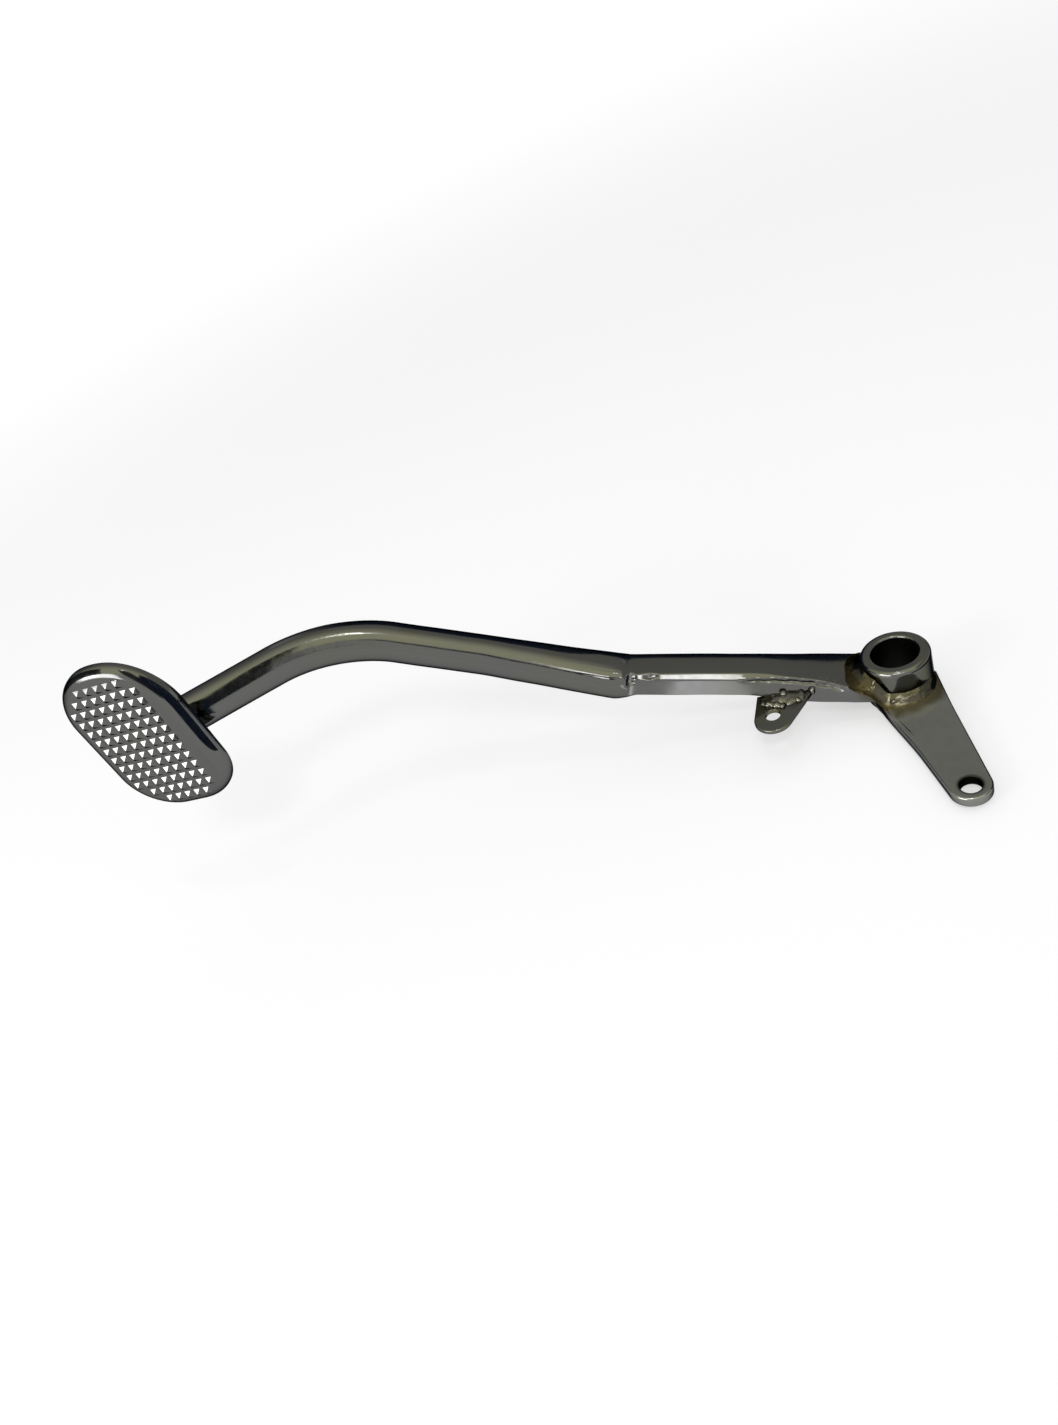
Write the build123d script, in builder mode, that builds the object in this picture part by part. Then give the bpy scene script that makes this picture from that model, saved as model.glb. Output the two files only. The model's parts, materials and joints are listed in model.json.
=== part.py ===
"""Rear brake pedal: a bent tube with a treaded foot pad, a pivot sleeve, a brake rod lever and a spring lug.

Millimetres. The origin is the middle of the pivot bore and +Z runs along the bore, towards the outside of the
machine. The pad lies towards -X and its tread faces -Y. The lever for the brake rod points to -Y.
"""
import os
from math import acos, atan2, cos, hypot, radians, sin, tan

from build123d import *

# Pivot sleeve
bore_diameter = 17.0
boss_diameter = 25.4
boss_length = 21.0
boss_rim_round = 1.6
bore_edge = 0.6

# Centre line of the arm, in the upright plane through the bore
arm_cross_height = -2.2
inner_rise = 16.7
crease_reach = 98.2
outer_rise = 27.0
bend_reach = 204.3
toe_turn = 28.65
bend_radius = 75.0

# Tube, and the places where it is pressed flat, measured along its centre line
tube_diameter = 16.0
tube_wall = 1.8
swell_width = 20.2
swell_drop = 1.2
swell_from_crease = 6.5
swell_length = 53.5
flat_width = 19.5
flat_thickness = 10.5
flat_lift = 0.8
flat_to_crease = 3.5
flat_from_pivot = 60.0
neck_width = 24.5
neck_thickness = 9.0
neck_drop = 0.6
neck_from_pivot = 34.0
paddle_width = 27.0
paddle_thickness = 4.2
paddle_from_pivot = 18.0
paddle_end = 5.0
pinched_gap = 0.8
corner_share = 0.49

# Foot pad
pad_width = 50.0
pad_length = 72.0
pad_end_flat_up = 1.0
pad_end_flat_down = 9.0
pad_depth = 5.8
pad_sheet = 1.8
pad_rim_round = 3.2
pad_lift = 3.1
pad_seat_gap = 7.1
toe_run = 49.45
tube_end_gap = 5.0

# Tread of raised pyramids on the pad
tread_columns = 8
tread_rows = 13
tread_pitch_across = 4.5
tread_pitch_along = 4.85
tread_base_share = 0.74
tread_height = 1.25
tread_tip = 0.3
tread_root = 1.5
tread_margin = 1.2
tread_shift_across = -1.8
tread_shift_along = -0.8
tread_border_shift = 3.0

# Lever for the brake rod, measured along and across its centre line from the pivot axis
lever_thickness = 4.2
lever_inset = 1.8
lever_lean = 12.9
rod_hole_reach = 59.0
rod_hole_diameter = 7.2
rod_hole_edge = 0.3
lever_end_round = 7.2
lever_end_inset = 0.6
lever_root_reach = 3.5
lever_root_right = 12.7
lever_root_left = 10.1
lever_edge = 0.7

# Lug for the spring
tab_thickness = 1.8
tab_top = 8.0
tab_hole_x = -47.0
tab_hole_y = -18.4
tab_hole_diameter = 5.6
tab_end_round = 7.2
tab_end_past_hole = 1.5
tab_root_left = -52.2
tab_root_right = -29.5
tab_root_y = -6.5

# Weld beads
bead_overlap = 0.8
bead_bulge = 0.62
lever_bead_height = 7.2
lever_bead_width = 3.8
lever_bead_start = 205.0
lever_bead_sweep = 127.0
arm_bead_height = 5.2
arm_bead_width = 4.4
arm_bead_start = 127.0
arm_bead_sweep = 106.0
tab_bead_radius = 2.8
tab_bead_left_inset = 3.0
tab_bead_right_inset = 6.4
pad_bead_size = 2.8
pad_bead_top = 0.5

os.makedirs("parts", exist_ok=True)

boss_radius = boss_diameter / 2
tube_radius = tube_diameter / 2
lever_top = -boss_length / 2 + lever_inset + lever_thickness

# Corner points and directions of the arm's centre line
inner_way = Vector(-cos(radians(inner_rise)), 0, sin(radians(inner_rise)))
outer_way = Vector(-cos(radians(outer_rise)), 0, sin(radians(outer_rise)))
toe_way = Vector(-cos(radians(toe_turn)), -sin(radians(toe_turn)), 0)
cross_point = Vector(0, 0, arm_cross_height)
crease_run = crease_reach / cos(radians(inner_rise))
crease_point = cross_point + inner_way * crease_run
outer_run = (bend_reach - crease_reach) / cos(radians(outer_rise))
bend_point = crease_point + outer_way * outer_run

# The bend between the outer run and the toe
bend_half = outer_way.get_angle(toe_way) / 2
bend_tangent = bend_radius * tan(radians(bend_half))
bend_in = bend_point - outer_way * bend_tangent
bend_out = bend_point + toe_way * bend_tangent
bend_depth = bend_radius / cos(radians(bend_half)) - bend_radius
bend_middle = bend_point + (toe_way - outer_way).normalized() * bend_depth

# Corner rounds of the pad, which leave a short straight stretch across each end
pad_corner_up = (pad_width - pad_end_flat_up) / 2
pad_corner_down = (pad_width - pad_end_flat_down) / 2

# Place of the pad: the tube passes just behind the back edge of the wall that is nearest to the bend
near_wall = bend_point + toe_way * toe_run
inner_corner_y = near_wall.Y - pad_sheet * tan(radians(toe_turn))
pad_back_y = inner_corner_y - tube_radius / cos(radians(toe_turn)) - pad_seat_gap
pad_face_y = pad_back_y - pad_depth
pad_centre_x = near_wall.X - pad_width / 2
pad_centre_z = bend_point.Z + pad_lift
tread_plane = Plane(origin=(pad_centre_x, pad_face_y, pad_centre_z), x_dir=(1, 0, 0), z_dir=(0, -1, 0))
pad_floor_y = pad_face_y + pad_sheet
tube_end_x = pad_centre_x - pad_width / 2 + pad_sheet + tube_end_gap
toe_end = bend_point + toe_way * (toe_run + pad_width * 1.5)


def across_inner(run):
    """Plane square to the inner run, at a distance along it from the pivot axis; its y looks outwards."""
    return Plane(origin=cross_point + inner_way * run, x_dir=(0, -1, 0), z_dir=inner_way)


def across_outer(run):
    """Plane square to the outer run, at a distance along it from the crease; its y looks outwards."""
    return Plane(origin=crease_point + outer_way * run, x_dir=(0, -1, 0), z_dir=outer_way)


swell_share = (0.0, 0.3, 0.72, 1.0)
swell_runs = [swell_from_crease + swell_length * (1 - share) for share in swell_share]
swell_growth = swell_width - tube_diameter
flat_end_run = crease_run - flat_to_crease

# Widths, thicknesses and lifts of the tube, from the round part to the pivot
swell_sections = [
    (across_outer(run), tube_diameter + swell_growth * share, tube_diameter, -swell_drop * share)
    for run, share in zip(swell_runs, swell_share)
]
flat_sections = [
    (across_inner(flat_end_run), flat_width, flat_thickness, flat_lift / 2),
    (across_inner(flat_from_pivot), flat_width, flat_thickness, flat_lift),
]
neck_section = (across_inner(neck_from_pivot), neck_width, neck_thickness, -neck_drop)
paddle_sections = [
    (across_inner(paddle_from_pivot), paddle_width, paddle_thickness, 0.0),
    (across_inner(paddle_end), paddle_width, paddle_thickness, 0.0),
]
crease_pair = [swell_sections[-1], flat_sections[0]]
neck_pair = [flat_sections[1], neck_section]
inside_groups = [swell_sections, crease_pair, flat_sections, neck_pair]
pinch_run = neck_pair + paddle_sections[:1]
outside_groups = [swell_sections, crease_pair, flat_sections, pinch_run, paddle_sections]


def ring(section, wall):
    """Rounded outline of one section, drawn inside a BuildSketch and set in by the wall's thickness."""
    width = section[1] - 2 * wall
    thickness = max(section[2] - 2 * wall, pinched_gap)
    with Locations((0, section[3])):
        RectangleRounded(width, thickness, min(width, thickness) * corner_share)


with BuildPart() as pivot_boss:
    Cylinder(boss_radius, boss_length)
    Hole(bore_diameter / 2)
    rims = pivot_boss.edges().filter_by(GeomType.CIRCLE)
    outer_rims = rims.filter_by(lambda rim: rim.radius > (bore_diameter + boss_diameter) / 4)
    fillet(outer_rims.sort_by(Axis.Z)[-1], boss_rim_round)
    rims = pivot_boss.edges().filter_by(GeomType.CIRCLE)
    chamfer(rims.filter_by(lambda rim: abs(rim.radius - bore_diameter / 2) < bore_edge / 2), bore_edge)

with BuildPart() as arm_envelope:
    # Round toe, bend and outer run
    with BuildLine() as toe_path:
        Line(crease_point + outer_way * swell_runs[0], bend_in)
        ThreePointArc(bend_in, bend_middle, bend_out)
        Line(bend_out, toe_end)
    with BuildSketch(across_outer(swell_runs[0])):
        Circle(tube_radius)
    sweep(path=toe_path.wires()[0])
    # Swelling towards the crease, the pressed step, the flat and the pinched end
    for group in outside_groups:
        for section in group:
            with BuildSketch(section[0]):
                ring(section, 0.0)
        loft(ruled=len(group) == 2)
    # The end at the pivot fits round the sleeve, and the end in the pad is cut to lie on the sheet
    Cylinder(boss_radius, 4 * boss_length, mode=Mode.SUBTRACT)
    split(bisect_by=Plane(origin=(0, pad_floor_y, 0), x_dir=(1, 0, 0), z_dir=(0, 1, 0)), keep=Keep.TOP)
    split(bisect_by=Plane(origin=(tube_end_x, 0, 0), x_dir=(0, 1, 0), z_dir=(1, 0, 0)), keep=Keep.TOP)

with BuildPart() as arm_tube:
    add(arm_envelope.part)
    # Hollow inside, which closes where the tube is pinched
    with BuildSketch(across_outer(swell_runs[0])):
        Circle(tube_radius - tube_wall)
    sweep(path=toe_path.wires()[0], mode=Mode.SUBTRACT)
    for group in inside_groups:
        for section in group:
            with BuildSketch(section[0]):
                ring(section, tube_wall)
        loft(ruled=len(group) == 2, mode=Mode.SUBTRACT)

# Tread cells whose bases stay clear of the rounded rim
cell_width = tread_pitch_across * tread_base_share
cell_length = tread_pitch_along * tread_base_share
field_half_width = pad_width / 2 - pad_rim_round + tread_margin
field_half_length = pad_length / 2 - pad_rim_round + tread_margin
tread_cells = []
for column in range(tread_columns):
    for row in range(tread_rows):
        cell_x = (column - (tread_columns - 1) / 2) * tread_pitch_across + tread_shift_across
        cell_y = (row - (tread_rows - 1) / 2) * tread_pitch_along + tread_shift_along
        pad_corner = pad_corner_up if cell_y > 0 else pad_corner_down
        field_corner = pad_corner - pad_rim_round + tread_margin
        beyond_x = abs(cell_x - tread_border_shift) + cell_width / 2 - (field_half_width - field_corner)
        beyond_y = abs(cell_y) + cell_length / 2 - (field_half_length - field_corner)
        if hypot(max(beyond_x, 0), max(beyond_y, 0)) < field_corner:
            tread_cells.append((cell_x, cell_y))

with BuildPart() as tread_point:
    # One pyramid with a short square root: two crossed prisms of the same height, kept where they overlap
    crossed = ((Plane.XZ, cell_width, Mode.ADD), (Plane.YZ, cell_length, Mode.INTERSECT))
    for side_plane, base, crossing in crossed:
        with BuildSketch(side_plane):
            with BuildLine():
                Polyline(
                    (-base / 2, -tread_root), (base / 2, -tread_root), (base / 2, 0),
                    (tread_tip / 2, tread_height), (-tread_tip / 2, tread_height), (-base / 2, 0),
                    close=True,
                )
            make_face()
        extrude(amount=tread_pitch_along, both=True, mode=crossing)

with BuildPart() as foot_pad:
    # Pressed sheet with a rounded rim
    with BuildSketch(tread_plane) as pad_outline:
        Rectangle(pad_width, pad_length)
        fillet(pad_outline.vertices().group_by(Axis.Y)[-1], pad_corner_up)
        fillet(pad_outline.vertices().group_by(Axis.Y)[0], pad_corner_down)
    extrude(amount=-pad_depth)
    fillet(foot_pad.faces().sort_by(Axis.Y)[0].edges(), pad_rim_round)
    # Hollow back
    with BuildSketch(tread_plane.offset(-pad_depth)) as pad_hollow:
        Rectangle(pad_width - 2 * pad_sheet, pad_length - 2 * pad_sheet)
        fillet(pad_hollow.vertices().group_by(Axis.Y)[-1], pad_corner_up - pad_sheet)
        fillet(pad_hollow.vertices().group_by(Axis.Y)[0], pad_corner_down - pad_sheet)
    extrude(amount=pad_depth - pad_sheet, mode=Mode.SUBTRACT)
    # Raised pyramids, rooted in the sheet where the rim falls away below them
    with Locations(tread_plane):
        with Locations(*tread_cells):
            add(tread_point.part)

# Lever: x runs along its centre line and y to its right, as seen from outside
lever_way = Vector(sin(radians(lever_lean)), -cos(radians(lever_lean)), 0)
lever_plane = Plane(origin=(0, 0, lever_top - lever_thickness), x_dir=lever_way, z_dir=(0, 0, 1))
end_reach = rod_hole_reach - lever_end_inset
right_taper = atan2(lever_root_right - lever_end_round, end_reach - lever_root_reach)
left_taper = atan2(lever_root_left - lever_end_round, end_reach - lever_root_reach)
end_right = (end_reach + lever_end_round * sin(right_taper), lever_end_round * cos(right_taper))
end_left = (end_reach + lever_end_round * sin(left_taper), -lever_end_round * cos(left_taper))
root_right = (lever_root_reach, lever_root_right)
root_left = (lever_root_reach, -lever_root_left)

with BuildPart() as lever_plate:
    with BuildSketch(lever_plane):
        with BuildLine():
            Line(root_left, end_left)
            ThreePointArc(end_left, (end_reach + lever_end_round, 0), end_right)
            Line(end_right, root_right)
            Line(root_right, root_left)
        make_face()
    extrude(amount=lever_thickness)
    fillet(lever_plate.faces().filter_by(Axis.Z).edges(), lever_edge)
    Cylinder(boss_radius, 4 * boss_length, mode=Mode.SUBTRACT)
    with Locations(lever_plane.offset(lever_thickness)):
        with Locations((rod_hole_reach, 0)):
            Hole(rod_hole_diameter / 2)
    round_edges = lever_plate.edges().filter_by(GeomType.CIRCLE)
    hole_rims = round_edges.filter_by(lambda rim: abs(rim.radius - rod_hole_diameter / 2) < rod_hole_edge)
    chamfer(hole_rims, rod_hole_edge)

# Lug: straight sides from the arm to a round end just beyond the hole
tab_centre = Vector(tab_hole_x, tab_hole_y - tab_end_past_hole)


def touch_point(corner, side):
    """Point where the line from a root corner touches the lug's round end, on side +1 or -1."""
    reach = hypot(corner.X - tab_centre.X, corner.Y - tab_centre.Y)
    bearing = atan2(corner.Y - tab_centre.Y, corner.X - tab_centre.X)
    turn = bearing + side * acos(tab_end_round / reach)
    return tab_centre + Vector(cos(turn), sin(turn)) * tab_end_round


tab_left = Vector(tab_root_left, tab_root_y)
tab_right = Vector(tab_root_right, tab_root_y)
tab_tip_way = (tab_centre - (tab_left + tab_right) / 2).normalized()

with BuildPart() as spring_tab:
    with BuildSketch(Plane.XY.offset(tab_top - tab_thickness)):
        with BuildLine():
            Line(tab_left, touch_point(tab_left, 1))
            ThreePointArc(touch_point(tab_left, 1), tab_centre + tab_tip_way * tab_end_round,
                          touch_point(tab_right, -1))
            Line(touch_point(tab_right, -1), tab_right)
            Line(tab_right, tab_left)
        make_face()
        with Locations((tab_hole_x, tab_hole_y)):
            Circle(tab_hole_diameter / 2, mode=Mode.SUBTRACT)
    extrude(amount=tab_thickness)
    add(arm_envelope.part, mode=Mode.SUBTRACT)

# Welds: a bead is a bulged fillet against the sleeve's wall, and gives way to the pieces that it joins
arm_seat = Vector(0, 0, arm_cross_height + paddle_thickness / 2 / cos(radians(inner_rise)))
arm_square = Vector(sin(radians(inner_rise)), 0, cos(radians(inner_rise)))
arm_bead_from = Vector(-inner_way.X, 0, -inner_way.Z) * cos(radians(arm_bead_start))
arm_bead_from = arm_bead_from + Vector(0, 1, 0) * sin(radians(arm_bead_start))
arm_bead_plane = Plane(origin=arm_seat, x_dir=arm_bead_from, z_dir=arm_bead_from.cross(arm_square))
lever_bead_from = Vector(cos(radians(lever_bead_start)), sin(radians(lever_bead_start)), 0)
lever_bead_side = lever_bead_from.cross(Vector(0, 0, 1))
lever_bead_plane = Plane(origin=(0, 0, lever_top), x_dir=lever_bead_from, z_dir=lever_bead_side)
bead_inner = boss_radius - bead_overlap
beads = [
    (lever_bead_plane, lever_bead_width, lever_bead_height, Axis.Z, lever_bead_sweep),
    (arm_bead_plane, arm_bead_width, arm_bead_height, Axis(arm_seat, arm_square), arm_bead_sweep),
]

with BuildPart() as boss_weld:
    for bead_plane, width, height, spin, turn in beads:
        with BuildSketch(bead_plane):
            with BuildLine():
                Line((bead_inner, 0), (boss_radius + width, 0))
                crown = (boss_radius + width * bead_bulge, height * bead_bulge)
                ThreePointArc((boss_radius + width, 0), crown, (bead_inner, height))
                Line((bead_inner, height), (bead_inner, 0))
            make_face()
        revolve(axis=spin, revolution_arc=turn)
    Cylinder(boss_radius, 4 * boss_length, mode=Mode.SUBTRACT)
    add(arm_envelope.part, mode=Mode.SUBTRACT)
    add(lever_plate.part, mode=Mode.SUBTRACT)

tab_bead_y = -flat_width / 2
tab_bead_from = Vector(tab_root_left + tab_bead_left_inset, tab_bead_y, tab_top + tab_bead_radius / 2)
tab_bead_to = Vector(tab_root_right - tab_bead_right_inset, -neck_width / 2, tab_top + tab_bead_radius / 2)

with BuildPart() as tab_weld:
    with BuildLine() as tab_bead_path:
        Line(tab_bead_from, tab_bead_to)
    with BuildSketch(Plane(origin=tab_bead_from, z_dir=tab_bead_to - tab_bead_from)):
        Circle(tab_bead_radius)
    sweep(path=tab_bead_path.wires()[0])
    with Locations(tab_bead_from, tab_bead_to):
        Sphere(tab_bead_radius)
    add(arm_envelope.part, mode=Mode.SUBTRACT)
    add(spring_tab.part, mode=Mode.SUBTRACT)

toe_hit = bend_point + toe_way * ((pad_floor_y - bend_point.Y) / toe_way.Y)
pad_inside_plane = Plane(origin=(toe_hit.X, pad_floor_y, toe_hit.Z), x_dir=(1, 0, 0), z_dir=(0, 1, 0))

pad_bead_shift = pad_bead_size / tan(radians(toe_turn))
pad_bead_foot = (tube_radius / sin(radians(toe_turn)) + pad_bead_size, tube_radius + pad_bead_size)
pad_bead_crown = (tube_radius / sin(radians(toe_turn)) + pad_bead_top, tube_radius + pad_bead_top)

with BuildPart() as pad_weld:
    with BuildSketch(pad_inside_plane):
        Ellipse(*pad_bead_foot)
    with BuildSketch(pad_inside_plane.offset(pad_bead_size)):
        with Locations((pad_bead_shift, 0)):
            Ellipse(*pad_bead_crown)
    loft()
    split(bisect_by=Plane(origin=(tube_end_x, 0, 0), x_dir=(0, 1, 0), z_dir=(1, 0, 0)), keep=Keep.TOP)
    add(arm_envelope.part, mode=Mode.SUBTRACT)

pieces = {
    "foot_pad": foot_pad,
    "arm_tube": arm_tube,
    "pivot_boss": pivot_boss,
    "lever_plate": lever_plate,
    "spring_tab": spring_tab,
    "boss_weld": boss_weld,
    "tab_weld": tab_weld,
    "pad_weld": pad_weld,
}
for node, piece in pieces.items():
    piece.part.label = node
    export_step(piece.part, "parts/" + node + ".step")
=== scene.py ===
"""Looks of a motorbike's rear brake pedal: bright plated steel, shaped and seen as in its photograph.

Lengths are millimetres until a mesh is made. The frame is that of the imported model: the pivot bore's axis
is Z, the arm runs towards -X, and the tread, the rod lever and the spring tab look towards -Y.
"""

import json
import bmesh
import bpy
import numpy as np
from mathutils import Matrix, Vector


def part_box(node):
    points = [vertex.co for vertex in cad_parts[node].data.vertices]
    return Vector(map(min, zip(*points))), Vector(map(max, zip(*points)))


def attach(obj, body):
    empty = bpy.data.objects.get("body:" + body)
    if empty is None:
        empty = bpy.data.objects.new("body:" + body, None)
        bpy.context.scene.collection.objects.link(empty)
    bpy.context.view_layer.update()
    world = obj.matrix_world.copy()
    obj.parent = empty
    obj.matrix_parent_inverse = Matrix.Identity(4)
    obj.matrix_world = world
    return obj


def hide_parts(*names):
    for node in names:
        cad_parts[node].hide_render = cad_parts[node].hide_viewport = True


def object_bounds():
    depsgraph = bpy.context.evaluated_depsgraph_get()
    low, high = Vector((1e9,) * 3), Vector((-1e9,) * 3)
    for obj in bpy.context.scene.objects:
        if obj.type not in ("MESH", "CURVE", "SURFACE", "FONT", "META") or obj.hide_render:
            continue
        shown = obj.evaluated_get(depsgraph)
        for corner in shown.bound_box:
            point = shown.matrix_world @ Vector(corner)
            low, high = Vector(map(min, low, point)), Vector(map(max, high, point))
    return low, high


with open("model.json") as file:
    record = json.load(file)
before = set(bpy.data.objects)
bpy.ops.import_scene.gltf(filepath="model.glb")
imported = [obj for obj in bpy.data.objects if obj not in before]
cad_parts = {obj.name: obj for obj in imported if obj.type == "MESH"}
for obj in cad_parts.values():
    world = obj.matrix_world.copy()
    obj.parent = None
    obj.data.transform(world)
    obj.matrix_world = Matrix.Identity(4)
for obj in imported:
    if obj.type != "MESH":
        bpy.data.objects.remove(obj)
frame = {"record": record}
cad_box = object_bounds()

MM = 0.001
MERGE_DISTANCE = 0.001 * MM
TINY = 1e-9
GRAIN = "grain"
FULL_TURN = 2.0 * np.pi
QUARTER_TURN = np.pi / 2


def node_box(node):
    """Lowest and highest corner of a CAD node, in millimetres."""
    return np.array([list(corner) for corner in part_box(node)]) / MM


def mount_place(mount):
    """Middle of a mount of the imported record, in millimetres."""
    return np.array(mount["pos_m"]) / MM


def way(x, y, z):
    """Unit vector."""
    direction = np.array([x, y, z], float)
    return direction / np.linalg.norm(direction)


# Pivot sleeve and holes
mounts = {mount["name"]: mount for mount in frame["record"]["mounts"]}
bore_radius = mounts["pivot_bore"]["dims"]["r_mm"]
rod_hole = mount_place(mounts["rod_hole"])
rod_hole_radius = mounts["rod_hole"]["dims"]["r_mm"]
tab_hole = mount_place(mounts["tab_hole"])
tab_hole_radius = mounts["tab_hole"]["dims"]["r_mm"]
boss_low, boss_high = node_box("pivot_boss")
boss_radius = (boss_high[0] - boss_low[0]) / 2
boss_top = boss_high[2]
boss_rim_round = 2.1
bore_rim_round = 1.0
boss_rim_points = 11
bore_rim_points = 9
boss_wall_points = 16
boss_columns = 160

# Arm: centre line, and sections at distances from the pivot
tube_diameter = 16.0
tube_wall = 1.8
arm_cross = np.array([0.0, 0.0, -2.2])
inner_rise = np.radians(16.7)
crease_reach = 98.2
outer_rise = np.radians(27.0)
bend_reach = 204.3
toe_turn = np.radians(28.65)
bend_radius = 75.0
crease_blend = 4.0
arm_end_run = 5.0
arm_inside_boss = boss_radius - 0.6
inner_way = way(-np.cos(inner_rise), 0, np.sin(inner_rise))
outer_way = way(-np.cos(outer_rise), 0, np.sin(outer_rise))
toe_way = way(-np.cos(toe_turn), -np.sin(toe_turn), 0)
bend_inwards = way(*(toe_way - outer_way * (toe_way @ outer_way)))
bend_angle = np.arccos(toe_way @ outer_way)
crease_run = crease_reach / np.cos(inner_rise)
straight_run = (bend_reach - crease_reach) / np.cos(outer_rise) - bend_radius * np.tan(bend_angle / 2)
bend_run = crease_run + straight_run + bend_radius * bend_angle / 2
toe_start_run = crease_run + straight_run + bend_radius * bend_angle
arm_rows = 400
arm_columns = 192
toe_shares = np.array([0.15, 0.3, 0.45, 0.6, 0.75, 0.9, 0.98, 0.995, 1.0])
tube_bore_rows = 5

# Distance from the pivot, width, thickness, lift and squareness of the arm's sections
arm_stations = np.array([
    (arm_end_run, 27.0, 5.2, -0.5, 3.0),
    (18.0, 27.0, 5.8, -0.8, 3.0),
    (34.0, 24.3, 8.8, -0.7, 3.0),
    (60.0, 19.0, 10.1, 0.8, 3.0),
    (crease_run - 4.0, 19.0, 10.1, 0.5, 3.0),
    (crease_run + 5.5, 20.2, 15.8, -1.1, 2.2),
    (crease_run + 21.5, 19.0, 16.0, -0.86, 2.05),
    (crease_run + 44.0, 17.3, 16.0, -0.36, 2.0),
    (crease_run + 60.0, tube_diameter, tube_diameter, 0.0, 2.0),
    (toe_start_run, tube_diameter, tube_diameter, 0.0, 2.0),
])

# Ridge along the front of the flat part: distance from the pivot, its place across and out, half width at its
# foot, and half height of its slanted face
ridge_stations = np.array([
    (arm_end_run, 12.4, 0.6, 13.4, 0.2),
    (15.5, 10.3, 0.9, 13.2, 0.2),
    (23.0, 8.2, 2.0, 11.9, 0.2),
    (30.0, 6.9, 2.9, 11.3, 0.2),
    (37.0, 6.3, 3.4, 10.3, 0.25),
    (48.0, 5.9, 4.0, 8.9, 0.6),
    (60.0, 6.3, 4.5, 8.6, 0.85),
    (crease_run, 6.3, 4.5, 8.9, 0.85),
])
ridge_foot_drop = 3.2
ridge_sharpness = 100.0
ridge_blend = 7.0

# Marks of pressing and bending on the arm: heights, lengths along it, and degrees round it from its front to its top
bulge_height = 0.3
bulge_length = 24.0
bulge_side = 315.0
bulge_spread = 45.0
groove_depth = 1.1
groove_before_crease = 0.6
groove_length = 1.5
groove_start = 8.0
groove_start_fade = 12.0
groove_stop = 70.0
groove_stop_fade = 22.0
shoulder_height = 0.8
shoulder_past_crease = 3.8
shoulder_length = 2.6
shoulder_side = 50.0
shoulder_spread = 26.0
wrinkle_height = 0.035
wrinkle_start = 1.0
wrinkle_start_fade = 4.0
wrinkle_stop = 28.0
wrinkle_stop_fade = 20.0
wrinkle_side = 48.0
wrinkle_spread = 17.0
wrinkle_rate = 0.62
wrinkle_slant = 0.05
dimple_depth = 0.9
dimple_run = 94.2
dimple_length = 2.0
dimple_width = 1.1
arm_wave_height = 0.05
arm_wave_length = 26.0
arm_wave_seed = 1

# Seam under the ridge: where it lies, its groove and lip, and the (rate, shift) of the waves that make it uneven
seam_start = 20.0
seam_start_fade = 6.0
seam_stop = 62.0
seam_stop_fade = 8.0
seam_behind_ridge = 3.0
seam_side_fade = 2.0
seam_waves = ((2.3, 0.0), (1.1, 1.0), (4.7, 2.0))
seam_wander = 0.12
seam_wander_rate = 0.9
seam_groove_depth = 0.55
seam_groove_uneven = 0.08
seam_groove_below = 0.5
seam_groove_width = 0.55
seam_lip_height = 0.20
seam_lip_uneven = 0.05
seam_lip_above = 0.6
seam_lip_width = 0.6

# Pad and tread
pad_low, pad_high = node_box("foot_pad")
pad_width = pad_high[0] - pad_low[0]
pad_length = pad_high[2] - pad_low[2]
pad_middle = (pad_low + pad_high) / 2
tread_height = 1.25
pad_face = pad_low[1] + tread_height
pad_back = pad_high[1]
pad_sheet = 1.8
pad_floor = pad_face + pad_sheet
pad_in_sheet = pad_floor - pad_sheet / 2
pad_rim_round = 4.6
pad_back_round = 0.5
pad_corner_up = pad_width / 2 - 0.5
pad_corner_down = pad_width / 2 - 4.5
pad_corner_points = 48
pad_rim_points = 13
pad_back_points = 5
pad_hollow_points = 7
pad_face_shares = np.linspace(0.02, 0.985, 24)
pad_wave_height = 0.05
pad_wave_length = 30.0
pad_wave_seed = 4
tube_end_inset = 6.8
tube_end = pad_low[0] + tube_end_inset
tread_columns = 8
tread_rows = 13
tread_pitch = np.array([4.5, 4.85])
tread_shift = np.array([-1.8, -0.8])
tread_base_share = 0.74
tread_tip_share = 0.1
tread_edge_share = 0.09
tread_border = 4.4
tread_root = 0.5

# Rod lever and spring tab
lever_low, lever_high = node_box("lever_plate")
lever_lean = np.radians(12.9)
lever_way = way(np.sin(lever_lean), -np.cos(lever_lean), 0)
lever_right = way(np.cos(lever_lean), np.sin(lever_lean), 0)
lever_end_round = 7.2
lever_end_reach = rod_hole @ lever_way - 0.6
lever_root_reach = 3.5
lever_root_right = 12.7
lever_root_left = 10.1
lever_edge = 0.9
lever_under_boss = 0.7
lever_hollow_half = np.radians(72.0)
lever_rise_start = 27.0
lever_rise_curve = 0.016
lever_flare = 1.6
lever_flare_start = 8.0
lever_flare_length = 32.0
lever_side_points = 120
lever_end_points = 64
lever_hollow_points = 60
tab_low, tab_high = node_box("spring_tab")
tab_end_round = 7.2
tab_middle = tab_hole + np.array([0.0, -1.5, 0.0])
tab_root_left = np.array([-52.2, -6.5, 0.0])
tab_root_right = np.array([-29.5, -6.5, 0.0])
tab_edge = 0.5
tab_side_points = 24
tab_end_points = 72
tab_root_points = 30
plate_columns = 640
plate_edge_points = 7
plate_hole_points = 5
plate_hole_share = 0.5
plate_face_shares = np.concatenate([[0.0, 0.03], np.linspace(0.1, 0.96, 20), [0.985]])

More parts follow.
